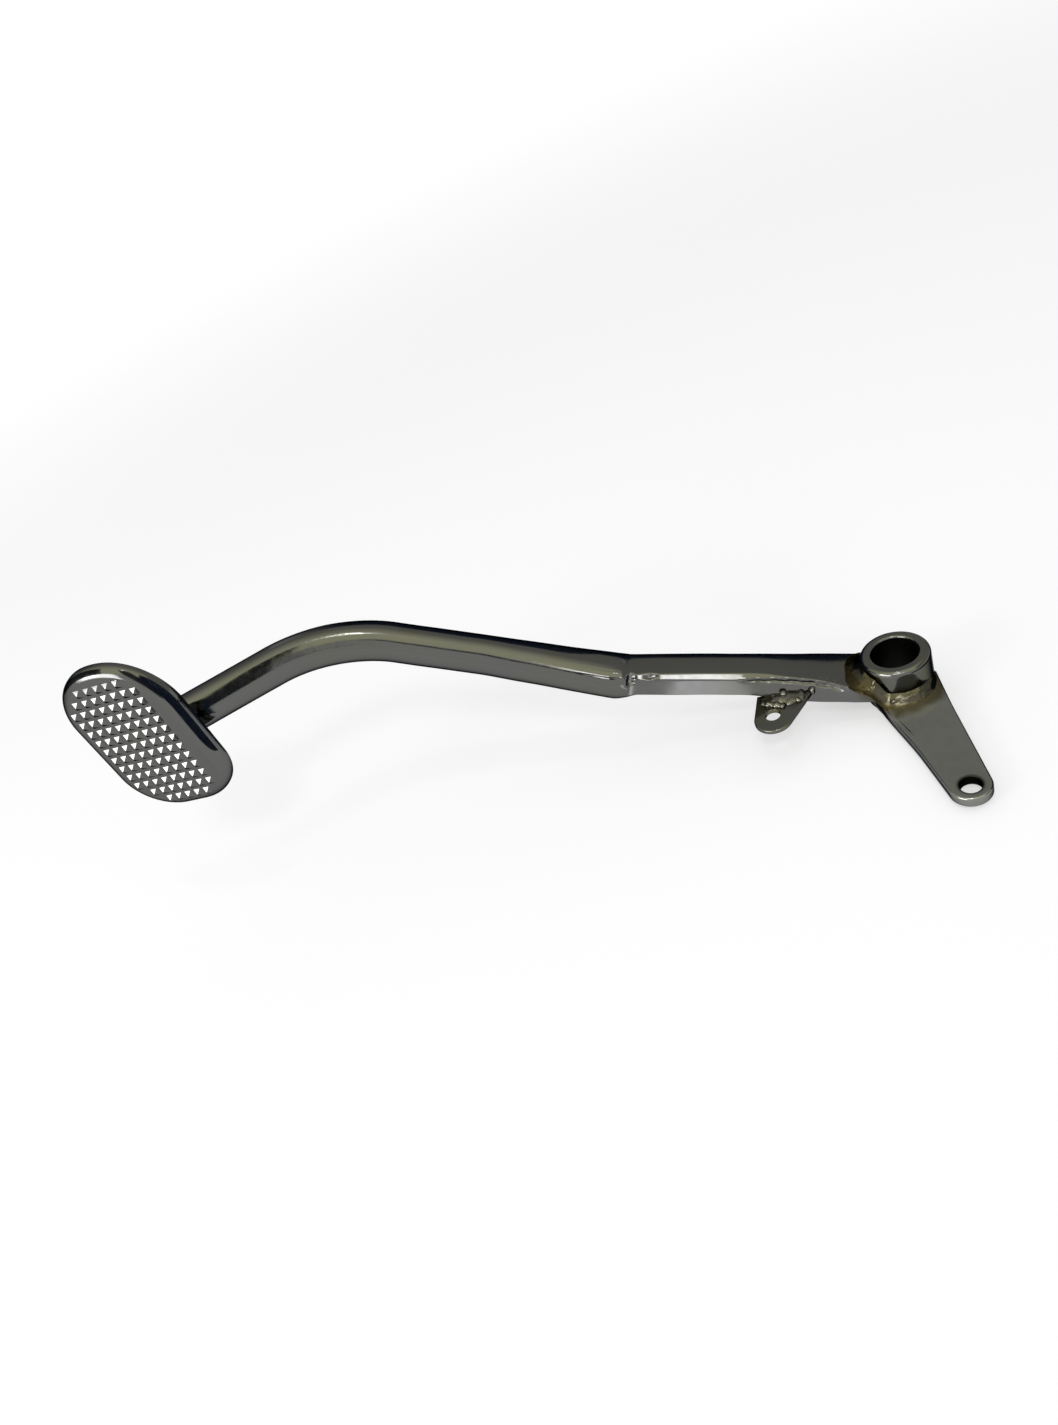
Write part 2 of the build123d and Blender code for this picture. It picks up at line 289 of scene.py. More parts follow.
# Boss's weld: bearing, rise and width at its stations, in degrees and millimetres, and the forms across it
boss_weld_stations = np.array([
    (120.0, 0.6, 0.8),
    (136.0, 3.2, 4.6),
    (165.0, 3.4, 7.0),
    (192.0, 3.5, 8.6),
    (212.0, 3.3, 7.4),
    (235.0, 3.0, 4.6),
    (262.0, 3.0, 4.2),
    (290.0, 2.9, 3.9),
    (314.0, 2.8, 3.0),
    (334.0, 2.2, 1.5),
    (346.0, 0.6, 0.6),
])
boss_weld_rows = 320
boss_weld_columns = 44
lever_side_start = 224.0
lever_side_blend = 26.0
lever_side_spread = 1.15
weld_sink = 0.35
weld_bite = 0.35
weld_bite_share = 0.05
weld_hollow = 1.3
weld_hollow_share = 0.08
weld_hollow_rise = 4.6
arm_side_power = 1.5
lever_side_power = 0.8
weld_in_wall = 1.4
weld_wall_drop = 0.5
weld_full_rise = 3.0
weld_lump_height = 0.13
weld_lump_length = 6.5
weld_lump_seed = 7
weld_ripple_height = 0.035
weld_ripple_length = 2.8
weld_ripple_seed = 8

# Tab's weld: ends, radius, flatness and lumpiness of its beads, and middle and radius of its drops
tab_weld_beads = [((-51.2, -9.8, 7.8), (-34.2, -10.2, 7.6), 4.3, 0.42, 0.10),
                  ((-50.8, -11.4, 8.5), (-42.0, -15.2, 8.2), 1.5, 0.8, 0.10)]
tab_weld_drops = [((-42.0, -9.9, 9.6), 1.3), ((-37.0, -13.0, 8.0), 1.4), ((-31.6, -9.0, 7.8), 1.5)]
bead_rows = 90
bead_columns = 60
bead_seed = 21
bead_dome_power = 6
bead_swell = 0.12
bead_swell_rate = 19.0
bead_lump_length = 6.0
bead_ripple_share = 0.3
bead_ripple_length = 2.4
drop_rows = 14
drop_columns = 24
drop_pole = 0.12
drop_swell = 0.15
drop_lump_length = 2.2

# Pad's weld
pad_weld_rows = 160
pad_weld_columns = 24
pad_weld_clear = 0.6
pad_weld_radius = 1.5
pad_weld_lift = 0.3
pad_weld_lump = 0.3
pad_weld_lump_length = 4.0
pad_weld_seed = 12

# Lumps: number of waves, and how many of each wave fit in the stated length, at least and at most
lump_waves = 9
lump_spread = (0.6, 1.6)


def smooth_step(value):
    """0 below 0, 1 above 1, and an S-shaped rise between."""
    share = np.clip(value, 0.0, 1.0)
    return share * share * (3.0 - 2.0 * share)


def hump(value):
    """Bell curve that is 1 at 0 and falls off over about 1."""
    return np.exp(-value * value)


def smooth_curve(run, knots, values):
    """Curve through the values at the knots: cubic pieces whose slopes never overshoot the steps beside them."""
    steps = np.diff(values) / np.diff(knots)
    before, after = steps[:-1], steps[1:]
    same_way = before * after > 0
    total = np.where(same_way, before + after, 1.0)
    inner = np.where(same_way, 2.0 * before * after / total, 0.0)
    slopes = np.concatenate([[0.0], inner, [0.0]])
    left = np.clip(np.searchsorted(knots, run, side="right") - 1, 0, len(knots) - 2)
    span = knots[left + 1] - knots[left]
    share = np.clip((run - knots[left]) / span, 0.0, 1.0)
    rise = smooth_step(share)
    from_left = share * (1.0 - share) ** 2 * slopes[left]
    from_right = share * share * (share - 1.0) * slopes[left + 1]
    return values[left] * (1.0 - rise) + values[left + 1] * rise + span * (from_left + from_right)


def through(run, stations):
    """Smooth curves through every column of the stations, over their first one."""
    return [smooth_curve(run, stations[:, 0], column) for column in stations[:, 1:].T]


def lumps(points, length, seed):
    """Smooth lumps from about -1 to 1: waves of about one length, summed along directions drawn from a seed."""
    draw = np.random.default_rng(seed)
    ways = draw.normal(size=(3, lump_waves))
    ways = ways / np.linalg.norm(ways, axis=0) * draw.uniform(*lump_spread, lump_waves) * FULL_TURN / length
    shifts = draw.uniform(0.0, FULL_TURN, lump_waves)
    return np.sin(points @ ways + shifts).sum(axis=-1) / np.sqrt(lump_waves)


def push(points, amount):
    """Moves the points of a grid along the grid's own normals, the cross product of its two tangents.
    Columns wrap, and the normals are turned to point away from the middle of each row."""
    along = np.gradient(points, axis=0)
    round_it = np.roll(points, -1, axis=1) - np.roll(points, 1, axis=1)
    normals = np.cross(along, round_it)
    normals = normals / np.maximum(np.linalg.norm(normals, axis=-1, keepdims=True), TINY)
    outwards = points - points.mean(axis=1, keepdims=True)
    turned = np.sign((normals * outwards).sum(axis=-1).sum(axis=1))
    return points + normals * turned[:, None, None] * amount[..., None]


def shell(points, wrap_rows=False):
    """Closed smooth surface on a grid of points whose columns wrap: (vertices, quads, smooth), with faces outwards.
    The signed volume, the sum of face middle times face area vector, tells whether to turn the quads."""
    rows, columns = points.shape[:2]
    vertices = points.reshape(-1, 3)
    row = np.arange(rows if wrap_rows else rows - 1)[:, None]
    column = np.arange(columns)[None, :]
    next_row = (row + 1) % rows
    next_column = (column + 1) % columns
    corners = (row * columns + column, row * columns + next_column,
               next_row * columns + next_column, next_row * columns + column)
    quads = np.stack(np.broadcast_arrays(*corners), axis=-1).reshape(-1, 4)
    at = vertices[quads] - vertices.mean(axis=0)
    area = np.cross(at[:, 2] - at[:, 0], at[:, 3] - at[:, 1])
    if (at.mean(axis=1) * area).sum() < 0:
        quads = quads[:, ::-1]
    return vertices, quads, True


def with_poles(points, first=None, last=None):
    """Grid whose first and last rows are closed by one point each, the row's middle unless it is given."""
    start = points[0].mean(axis=0) if first is None else first
    end = points[-1].mean(axis=0) if last is None else last
    spread = np.zeros_like(points[:1])
    return np.concatenate([spread + start, points, spread + end])


def full_circle(points):
    """Even angles once round, without the last one."""
    return np.linspace(0.0, FULL_TURN, points, endpoint=False)


def make_piece(name, shells, finish, slot, *nodes, grain=None):
    """One mesh object from shells in millimetres. Points that coincide, such as those of a pole, are merged.
    The grain, where there is one, gives each vertex a place for a pattern that follows the piece."""
    starts = np.cumsum([0] + [len(vertices) for vertices, _, _ in shells[:-1]])
    vertices = np.concatenate([vertices for vertices, _, _ in shells]) * MM
    quads = np.concatenate([quads + start for (_, quads, _), start in zip(shells, starts)])
    smooth = np.concatenate([np.full(len(quads), smooth) for _, quads, smooth in shells])
    mesh = bpy.data.meshes.new(name)
    mesh.from_pydata(vertices.tolist(), [], quads.tolist())
    mesh.polygons.foreach_set("use_smooth", smooth)
    if grain is not None:
        layer = mesh.attributes.new(GRAIN, "FLOAT_VECTOR", "POINT")
        layer.data.foreach_set("vector", (grain.reshape(-1, 3) * MM).ravel())
    merged = bmesh.new()
    merged.from_mesh(mesh)
    bmesh.ops.remove_doubles(merged, verts=merged.verts, dist=MERGE_DISTANCE)
    merged.to_mesh(mesh)
    merged.free()
    mesh.materials.append(finish)
    piece = bpy.data.objects.new(name, mesh)
    bpy.context.scene.collection.objects.link(piece)
    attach(piece, "root")
    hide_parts(*nodes)


def arm_path(run):
    """Centre line of the arm, and the two ways across it, `front` and `up`, at distances from the pivot.
    Two straight runs meet at the crease, and an arc turns the second one into the straight toe under the pad.
    The ways across tilt from the one rise to the other at the crease, and turn with the arc after it."""
    run = np.asarray(run, float)[..., None]
    past_crease = run - crease_run
    turn = np.clip((past_crease - straight_run) / bend_radius, 0.0, bend_angle)
    toe = np.maximum(run - toe_start_run, 0.0)
    place = arm_cross + np.minimum(run, crease_run) * inner_way
    place = place + np.clip(past_crease, 0.0, straight_run) * outer_way + toe * toe_way
    place = place + bend_radius * (np.sin(turn) * outer_way + (1.0 - np.cos(turn)) * bend_inwards)
    tilt = smooth_step((past_crease + crease_blend) / (2.0 * crease_blend))
    rise = inner_rise + (outer_rise - inner_rise) * tilt
    up = np.concatenate([np.sin(rise), np.zeros_like(rise), np.cos(rise)], axis=-1)
    front = np.broadcast_to(way(0, -1, 0), up.shape)
    swing = -np.sin(turn) * outer_way + (np.cos(turn) - 1.0) * bend_inwards
    front = front + (front @ bend_inwards)[..., None] * swing
    up = up + (up @ bend_inwards)[..., None] * swing
    return place, front, up


def arm_section(run, angle):
    """Section of the arm across `front` and `up`: a superellipse, |x/a|^n + |y/b|^n = 1, lifted off the centre line.
    Its width, thickness, lift and squareness n run smoothly through the stations. On the flat part two planes cut
    its front, one slanted along the ridge and one from there down to the foot: a point shrinks towards the centre
    line by the root of one plus the powers of its shares of both planes."""
    width, thickness, lift, squareness = through(run, arm_stations)
    power = 2.0 / squareness
    across = width / 2 * np.sign(np.cos(angle)) * np.abs(np.cos(angle)) ** power
    out = lift + thickness / 2 * np.sign(np.sin(angle)) * np.abs(np.sin(angle)) ** power
    ridge_across, ridge_out, foot, ridge_half = through(run, ridge_stations)
    slant = (across + out) / (ridge_across + ridge_out)
    edge_across, edge_out = ridge_across + ridge_half, ridge_out - ridge_half
    drop, spread = edge_out + ridge_foot_drop, foot - edge_across
    wall = (across * drop + out * spread) / (edge_across * drop + edge_out * spread)
    on_flat = smooth_step((crease_run - run) / ridge_blend)
    cuts = np.maximum(slant, 0.0) ** ridge_sharpness + np.maximum(wall, 0.0) ** ridge_sharpness
    shrink = (1.0 + on_flat * cuts) ** (-1.0 / ridge_sharpness)
    return across * shrink, out * shrink


def on_arm(run, across, out):
    """Points at a distance along the arm, off its centre line by two lengths across it."""
    place, front, up = arm_path(run)
    return place + front * across[..., None] + up * out[..., None]


def press_marks(run, degrees):
    """Height of the marks of bending and pressing, as products of bell curves and S-shaped fades along and round.
    The inside of the bend bulges. At the crease a groove crosses the front beside a raised shoulder, and fine
    wrinkles, a sine round the tube, run away from it."""
    past = run - crease_run
    bulge = bulge_height * hump((run - bend_run) / bulge_length) * hump((degrees - bulge_side) / bulge_spread)
    in_front = smooth_step((degrees - groove_start) / groove_start_fade)
    in_front = in_front * smooth_step((groove_stop - degrees) / groove_stop_fade)
    groove = -groove_depth * hump((past + groove_before_crease) / groove_length) * in_front
    shoulder = shoulder_height * hump((past - shoulder_past_crease) / shoulder_length)
    shoulder = shoulder * hump((degrees - shoulder_side) / shoulder_spread)
    wrinkled = smooth_step((past - wrinkle_start) / wrinkle_start_fade)
    wrinkled = wrinkled * smooth_step((wrinkle_stop - past) / wrinkle_stop_fade)
    wrinkled = wrinkled * hump((degrees - wrinkle_side) / wrinkle_spread)
    wrinkles = wrinkle_height * wrinkled * np.sin(degrees * wrinkle_rate + past * wrinkle_slant)
    return bulge + groove + shoulder + wrinkles


def ridge_marks(run, across, out):
    """Height of the marks on the ridge: a dimple near the crease, a bell curve round one spot, and towards the
    boss a rough seam that follows its lower edge, a groove under a lip, both uneven by a sum of sines."""
    ridge_across, ridge_out, _, ridge_half = through(run, ridge_stations)
    off_ridge = np.hypot(across - ridge_across, out - ridge_out)
    dimple = -dimple_depth * hump((run - dimple_run) / dimple_length) * hump(off_ridge / dimple_width)
    below = ridge_out - ridge_half - out
    seam = smooth_step((run - seam_start) / seam_start_fade) * smooth_step((seam_stop - run) / seam_stop_fade)
    seam = seam * smooth_step((across - ridge_across + seam_behind_ridge) / seam_side_fade)
    uneven = sum(np.sin(run * rate + shift) for rate, shift in seam_waves)
    wander = seam_wander * np.sin(run * seam_wander_rate)
    groove = -seam * (seam_groove_depth + seam_groove_uneven * uneven)
    groove = groove * hump((below - seam_groove_below - wander) / seam_groove_width)
    lip = seam * (seam_lip_height + seam_lip_uneven * uneven) * hump((below + seam_lip_above) / seam_lip_width)
    return dimple + groove + lip


def arm_shell():
    """The arm: its section carried along its path, with marks, from inside the boss's wall to the cut end.
    The end is cut square to X under the pad, shows the tube's wall, and goes back in along the bore.
    Points that would reach into the bore stay in the boss's wall, and those below the pad's floor in its sheet.
    Gives the surface and its grain: distance along the arm, and the two lengths across it."""
    angle = full_circle(arm_columns)[None, :]
    run = np.linspace(arm_end_run, toe_start_run, arm_rows)[:, None] + 0.0 * angle
    angles = angle + 0.0 * run
    across, out = arm_section(run, angles)
    outside = on_arm(run, across, out)
    marks = press_marks(run, np.degrees(angles)) + ridge_marks(run, across, out)
    outside = push(outside, marks + arm_wave_height * lumps(outside, arm_wave_length, arm_wave_seed))
    radial = np.linalg.norm(outside[..., :2], axis=-1)
    room = np.sqrt(np.maximum(arm_inside_boss ** 2 - outside[..., 1] ** 2, 0.0))
    inside_boss = (radial < arm_inside_boss) & (outside[..., 0] > -arm_inside_boss)
    outside[..., 0] = np.where(inside_boss, -room, outside[..., 0])

    toe_place, toe_front, toe_up = arm_path(np.array([toe_start_run]))
    share = np.concatenate([toe_shares, toe_shares[::-1][:tube_bore_rows]])[:, None, None]
    is_outside = np.arange(len(share)) < len(toe_shares)
    radii = np.where(is_outside, tube_diameter / 2, tube_diameter / 2 - tube_wall)
    ring = toe_front * np.cos(angle[0])[:, None] + toe_up * np.sin(angle[0])[:, None]
    rings = toe_place + radii[:, None, None] * ring
    to_cut = (tube_end - rings[..., :1]) / toe_way[0]
    toe = rings + to_cut * share * toe_way
    points = np.concatenate([outside, toe])
    points[..., 1] = np.maximum(points[..., 1], pad_in_sheet)
    inside_middle = toe[-1].mean(axis=0)
    boss_middle = np.array([-arm_inside_boss, 0.0, outside[0, :, 2].mean()])
    grain = np.stack([run, across, out], axis=-1)
    toe_grain = grain[-1] + (to_cut * share) * way(1, 0, 0)
    return shell(with_poles(points, boss_middle, inside_middle)), with_poles(np.concatenate([grain, toe_grain]))


def rounded_outline(width, length, corner_up, corner_down, points_per_corner):
    """Outline of a rectangle with rounded corners, and its outward normals: four arcs joined by straight lines."""
    quarter = np.linspace(0.0, QUARTER_TURN, points_per_corner)
    turns = np.concatenate([quarter + start for start in np.radians([0.0, 90.0, 180.0, 270.0])])
    normals = np.stack([np.cos(turns), np.sin(turns)], axis=-1)
    corner = np.repeat([corner_up, corner_up, corner_down, corner_down], points_per_corner)
    side_x = np.repeat([1.0, -1.0, -1.0, 1.0], points_per_corner)
    side_y = np.repeat([1.0, 1.0, -1.0, -1.0], points_per_corner)
    middles = np.stack([side_x * (width / 2 - corner), side_y * (length / 2 - corner)], axis=-1)
    return middles + normals * corner[:, None], normals


def quarter_round(radius, points):
    """Inset and drop of a rounded edge, from the face to the wall: one quarter of a circle."""
    turn = np.linspace(0.0, QUARTER_TURN, points)
    return radius * (1.0 - np.sin(turn)), radius * (1.0 - np.cos(turn))


def pad_shell():
    """The pad's pressed sheet: an outline carried through a profile of (inset, height) pairs.
    The profile goes from the middle of the face over the rounded rim, down the wall, round the back edge and
    back inside. Rows on the face and on the floor shrink towards the middle by a share instead of an inset."""
    outline, normals = rounded_outline(pad_width, pad_length, pad_corner_up, pad_corner_down, pad_corner_points)
    face_inset, face_drop = quarter_round(pad_rim_round, pad_rim_points)
    edge_inset, edge_drop = quarter_round(pad_back_round, pad_back_points)
    hollow_inset, hollow_drop = quarter_round(pad_rim_round - pad_sheet, pad_hollow_points)
    inset = np.concatenate([face_inset, edge_inset[::-1], pad_sheet - edge_inset, pad_sheet + hollow_inset[::-1]])
    height = np.concatenate([pad_face + face_drop, pad_back - edge_drop[::-1],
                             pad_back - edge_drop, pad_floor + hollow_drop[::-1]])
    rim = outline - inset[:, None, None] * normals
    shares = pad_face_shares[:, None, None]
    face = rim[0] * shares
    floor = rim[-1] * shares[::-1]
    flat = np.concatenate([face, rim, floor])
    heights = np.concatenate([np.full(len(face), pad_face), height, np.full(len(floor), pad_floor)])
    points = np.stack([pad_middle[0] + flat[..., 0], np.broadcast_to(heights[:, None], flat.shape[:2]),
                       pad_middle[2] + flat[..., 1]], axis=-1)
    points[..., 1] += pad_wave_height * lumps(points, pad_wave_length, pad_wave_seed)
    return shell(with_poles(points))


def tread_places():
    """Middles of the pad's tread points, (x, z): a regular grid, kept where it lies inside the plain border."""
    column = (np.arange(tread_columns) - (tread_columns - 1) / 2) * tread_pitch[0] + tread_shift[0]
    row = (np.arange(tread_rows) - (tread_rows - 1) / 2) * tread_pitch[1] + tread_shift[1]
    spots = np.stack(np.meshgrid(column, row), axis=-1).reshape(-1, 2)
    corner = np.where(spots[:, 1] > 0, pad_corner_up, pad_corner_down)
    past = np.abs(spots) - np.stack([pad_width / 2 - corner, pad_length / 2 - corner], axis=-1)
    gap = corner - np.linalg.norm(np.maximum(past, 0.0), axis=-1)
    return spots[gap > tread_border]


def tread_shells():
    """The tread: one small pyramid with bevelled edges, repeated at every place by adding the place to its points.
    Its rings are squares with cut corners, from a root in the sheet up flat facets to a small tip."""
    share = np.array([1.0, 1.0, tread_tip_share])
    half = share[:, None] * tread_pitch * tread_base_share / 2
    rise = np.array([-tread_root, 0.0, tread_height])
    cut = 1.0 - tread_edge_share * 2.0
    corner_x = np.array([1.0, cut, -cut, -1.0, -1.0, -cut, cut, 1.0])
    corner_z = np.array([cut, 1.0, 1.0, cut, -cut, -1.0, -1.0, -cut])
    heights = np.broadcast_to(pad_face - rise[:, None], (len(rise), len(corner_x)))
    rings = np.stack([half[:, :1] * corner_x, heights, half[:, 1:] * corner_z], axis=-1)
    vertices, quads, _ = shell(with_poles(rings))
    spots = tread_places()
    places = np.stack([pad_middle[0] + spots[:, 0], np.zeros(len(spots)), pad_middle[2] + spots[:, 1]], axis=-1)
    all_vertices = (places[:, None, :] + vertices).reshape(-1, 3)
    all_quads = (np.arange(len(places))[:, None, None] * len(vertices) + quads).reshape(-1, 4)
    return all_vertices, all_quads, False


def boss_shell():
    """The pivot sleeve: a profile of (radius, height) spun about the Z axis, with rounded rims and a plain bore."""
    rim_in, rim_down = quarter_round(boss_rim_round, boss_rim_points)
    bore_in, bore_down = quarter_round(bore_rim_round, bore_rim_points)
    wall = np.linspace(-1.0, 1.0, boss_wall_points)
    inner_wall = wall * (boss_top - bore_rim_round)
    outer_wall = wall[::-1] * (boss_top - boss_rim_round)
    radius = np.concatenate([np.full(len(wall), bore_radius), bore_radius + bore_in[::-1], boss_radius - rim_in,
                             np.full(len(wall), boss_radius), boss_radius - rim_in[::-1], bore_radius + bore_in])
    height = np.concatenate([inner_wall, boss_top - bore_down[::-1], boss_top - rim_down,
                             outer_wall, rim_down[::-1] - boss_top, bore_down - boss_top])
    spin = full_circle(boss_columns)
    points = np.stack([radius[:, None] * np.cos(spin), radius[:, None] * np.sin(spin),
                       np.broadcast_to(height[:, None], (len(height), len(spin)))], axis=-1)
    return shell(points, wrap_rows=True)


def seen_from(hole, outline, bearing):
    """Distance from a hole to an outline at each bearing: the outline's points in polar form, read in order."""
    gap = outline - hole
    turn = np.arctan2(gap[:, 1], gap[:, 0])
    order = np.argsort(turn)
    return np.interp(bearing, turn[order], np.linalg.norm(gap, axis=-1)[order], period=FULL_TURN)


def plate_shell(outline, hole, hole_radius, low, high, edge, rise=None):
    """A flat plate with a round hole and rounded edges, closed in both directions.
    Columns are even bearings from the hole. Rows run from the hole's rim out to the outline on top, round the
    edge, back underneath and up the hole; a point is the hole's middle plus its bearing times its distance.
    A rise, where there is one, gives the height that is added to the top at a place of the plate."""
    bearing = np.linspace(-np.pi, np.pi, plate_columns, endpoint=False)
    ways = np.stack([np.cos(bearing), np.sin(bearing)], axis=-1)
    tangent = np.roll(outline, -1, axis=0) - np.roll(outline, 1, axis=0)
    normals = np.stack([tangent[:, 1], -tangent[:, 0]], axis=-1)
    normals = normals / np.linalg.norm(normals, axis=-1, keepdims=True)
    hole_edge = edge * plate_hole_share
    edge_inset, edge_drop = quarter_round(edge, plate_edge_points)
    rim_inset, rim_drop = quarter_round(hole_edge, plate_hole_points)
    outer = np.stack([seen_from(hole, outline - inset * normals, bearing) for inset in edge_inset])
    rim = np.full(len(bearing), hole_radius + hole_edge)
    face = rim + (outer[0] - rim) * plate_face_shares[:, None]
    bore = np.broadcast_to((hole_radius + rim_inset)[:, None], (len(rim_inset), len(bearing)))
    reach = np.concatenate([face, outer, outer[::-1], face[::-1], bore, bore[::-1]])
    height = np.concatenate([np.full(len(face), high), high - edge_drop, low + edge_drop[::-1],
                             np.full(len(face), low), low + rim_drop, high - rim_drop[::-1]])
    flat = hole + reach[..., None] * ways
    level = np.broadcast_to(height[:, None], reach.shape)
    if rise is not None:
        level = level + rise(flat) * (level - low) / (high - low)
    return shell(np.concatenate([flat, level[..., None]], axis=-1), wrap_rows=True)


def straight(start, end, points):
    """Points on a line, without its last one."""
    return start + (end - start) * np.linspace(0.0, 1.0, points, endpoint=False)[:, None]


def lever_outline():
    """Outline of the rod lever: a long taper with a round end, flared on the left towards its root, which is
    hollowed for the boss. Sides and end are (reach, across) pairs, turned to the lever's lean at the end."""
    reach = lever_end_reach - lever_root_reach
    right_taper = np.arctan2(lever_root_right - lever_end_round, reach)
    left_taper = np.arctan2(lever_root_left - lever_end_round, reach)
    turn = np.linspace(left_taper - QUARTER_TURN, QUARTER_TURN - right_taper, lever_end_points)
    end = np.stack([lever_end_reach + lever_end_round * np.cos(turn), lever_end_round * np.sin(turn)], axis=-1)
    hold = boss_radius - lever_under_boss
    left = straight(np.array([lever_root_reach, -lever_root_left]), end[0], lever_side_points)
    left[:, 1] -= lever_flare * (1.0 - smooth_step((left[:, 0] - lever_flare_start) / lever_flare_length))
    right = straight(end[-1], np.array([lever_root_reach, lever_root_right]), lever_side_points)
    hollow_turn = np.linspace(lever_hollow_half, -lever_hollow_half, lever_hollow_points)
    hollow = hold * np.stack([np.cos(hollow_turn), np.sin(hollow_turn)], axis=-1)
    clear = np.linalg.norm(left, axis=-1) > hold
    loop = np.concatenate([left[clear], end[:-1], right, hollow])
    return loop[:, :1] * lever_way[:2] + loop[:, 1:] * lever_right[:2]


def lever_rise(place):
    """Height that the lever gains towards the boss: the square of how far a place lies inside a reach."""
    inside = np.maximum(lever_rise_start - np.linalg.norm(place, axis=-1), 0.0)
    return lever_rise_curve * inside ** 2


def tab_outline():
    """Outline of the spring tab, anticlockwise: two straight sides from the arm to a round end past the hole."""
    def touch(corner, side):
        """Bearing of the point where a line from a root corner touches the round end."""
        gap = corner - tab_middle
        return np.arctan2(gap[1], gap[0]) + side * np.arccos(tab_end_round / np.hypot(gap[0], gap[1]))

    start = touch(tab_root_left, 1)
    stop = touch(tab_root_right, -1)
    turn = np.linspace(start, stop + FULL_TURN if stop < start else stop, tab_end_points)
    end = tab_middle[:2] + tab_end_round * np.stack([np.cos(turn), np.sin(turn)], axis=-1)
    return np.concatenate([straight(tab_root_left[:2], end[0], tab_side_points), end[:-1],
                           straight(end[-1], tab_root_right[:2], tab_side_points),
                           straight(tab_root_right[:2], tab_root_left[:2], tab_root_points)])


def boss_weld_shell():
    """The weld round the boss: a smooth bead between its wall and the lever's root and the arm's end.
    Its rise and width run through stations round the boss. Across it, a hollow fall on the arm's side, a power of
    one minus a sine, turns into an S-shaped fall on the lever's, a power of a half plus half a cosine. Beside the
    wall an exponential adds a bite and a lip that die off outwards, and lumps go out along its normals."""
    degrees = np.linspace(boss_weld_stations[0, 0], boss_weld_stations[-1, 0], boss_weld_rows)[:, None]
    bearing = np.radians(degrees)
    rise, width = through(degrees, boss_weld_stations)
    lever_side = smooth_step((degrees - lever_side_start) / lever_side_blend)
    lever_foot = lever_high[2] + lever_rise_curve * (lever_rise_start - boss_radius - width) ** 2
    share = np.linspace(0.0, 1.0, boss_weld_columns)[None, :]
    arm_out = width * np.sin(share * np.pi / 2)
    lever_out = width * lever_side_spread * share
    out = arm_out + (lever_out - arm_out) * lever_side - weld_bite * np.exp(-share / weld_bite_share)
    round_fall = (0.5 + 0.5 * np.cos(share * np.pi)) ** lever_side_power
    hollow_fall = (1.0 - np.sin(share * np.pi / 2)) ** arm_side_power
    fall = hollow_fall + (round_fall - hollow_fall) * lever_side
    lip = weld_hollow * np.exp(-share / weld_hollow_share) * rise / weld_hollow_rise
    up = (rise + weld_sink) * fall - weld_sink + lip
    in_wall = np.full_like(rise, -weld_in_wall)
    out = np.concatenate([out, in_wall, in_wall], axis=1)
    up = np.concatenate([up, in_wall, rise - weld_wall_drop], axis=1)
    radius = boss_radius + out
    arm_foot = -np.tan(inner_rise) * np.cos(bearing) * radius
    foot = arm_foot * (1.0 - lever_side) + lever_foot * lever_side
    points = np.stack([radius * np.cos(bearing), radius * np.sin(bearing), foot + up], axis=-1)
    lump = weld_lump_height * lumps(points, weld_lump_length, weld_lump_seed)
    lump = lump + weld_ripple_height * lumps(points, weld_ripple_length, weld_ripple_seed)
    lump[:, -2:] = 0.0
    fade = smooth_step(rise / weld_full_rise)
    return shell(with_poles(push(points, lump * fade)))


def bead_shell(start, end, radius, flatness, lumpiness):
    """A short hand-laid bead: a flattened rod from start to end with domed ends, its radius waving by a sine along
    it, swollen by lumps along its normals."""
    share = np.linspace(0.0, 1.0, bead_rows)[:, None]
    turn = full_circle(bead_columns)[None, :]
    axis = way(*(end - start))
    side = way(*np.cross(axis, way(0, 0, 1)))
    lift = np.cross(side, axis)
    dome = np.sqrt(np.clip(1.0 - (2.0 * share - 1.0) ** bead_dome_power, 0.0, 1.0))
    size = radius * dome * (1.0 + bead_swell * np.sin(share * bead_swell_rate + bead_seed))
    points = (start + (end - start) * share)[:, None, :]
    points = points + size[..., None] * (np.cos(turn)[..., None] * side + flatness * np.sin(turn)[..., None] * lift)
    lump = lumps(points, bead_lump_length, bead_seed)
    lump = lump + bead_ripple_share * lumps(points, bead_ripple_length, bead_seed + 1)
    return shell(with_poles(push(points, lumpiness * dome * lump)))


def drop_shell(middle, radius, seed):
    """A drop of weld: a ball, with its points at polar angles, swollen by lumps."""
    polar = np.linspace(drop_pole, np.pi - drop_pole, drop_rows)[:, None]
    turn = full_circle(drop_columns)[None, :]
    ball = np.stack([np.sin(polar) * np.cos(turn), np.sin(polar) * np.sin(turn), np.cos(polar) + 0.0 * turn], axis=-1)
    size = radius * (1.0 + drop_swell * lumps(ball, drop_lump_length, seed))
    return shell(with_poles(np.array(middle) + size[..., None] * ball))


def pad_weld_shell():
    """The weld round the toe inside the pad: a lumpy ring that follows the oval where the tube meets the floor."""
    toe_start = arm_path(np.array([toe_start_run]))[0][0]
    hit = toe_start + toe_way * ((pad_floor - toe_start[1]) / toe_way[1])
    turn = full_circle(pad_weld_rows)[:, None]
    ring = full_circle(pad_weld_columns)[None, :]
    long_half = tube_diameter / 2 / np.sin(toe_turn) + pad_weld_clear
    short_half = tube_diameter / 2 + pad_weld_clear
    x = hit[0] + np.cos(turn) * (long_half + pad_weld_radius * np.cos(ring))
    z = hit[2] + np.sin(turn) * (short_half + pad_weld_radius * np.cos(ring))
    y = pad_floor + pad_weld_lift + pad_weld_radius * np.sin(ring) + 0.0 * turn
    points = np.stack([np.maximum(x, tube_end), y, z], axis=-1)
    lump = pad_weld_lump * lumps(points, pad_weld_lump_length, pad_weld_seed)
    points[..., 1] = np.maximum(points[..., 1] + lump, pad_in_sheet)
    return shell(points, wrap_rows=True)


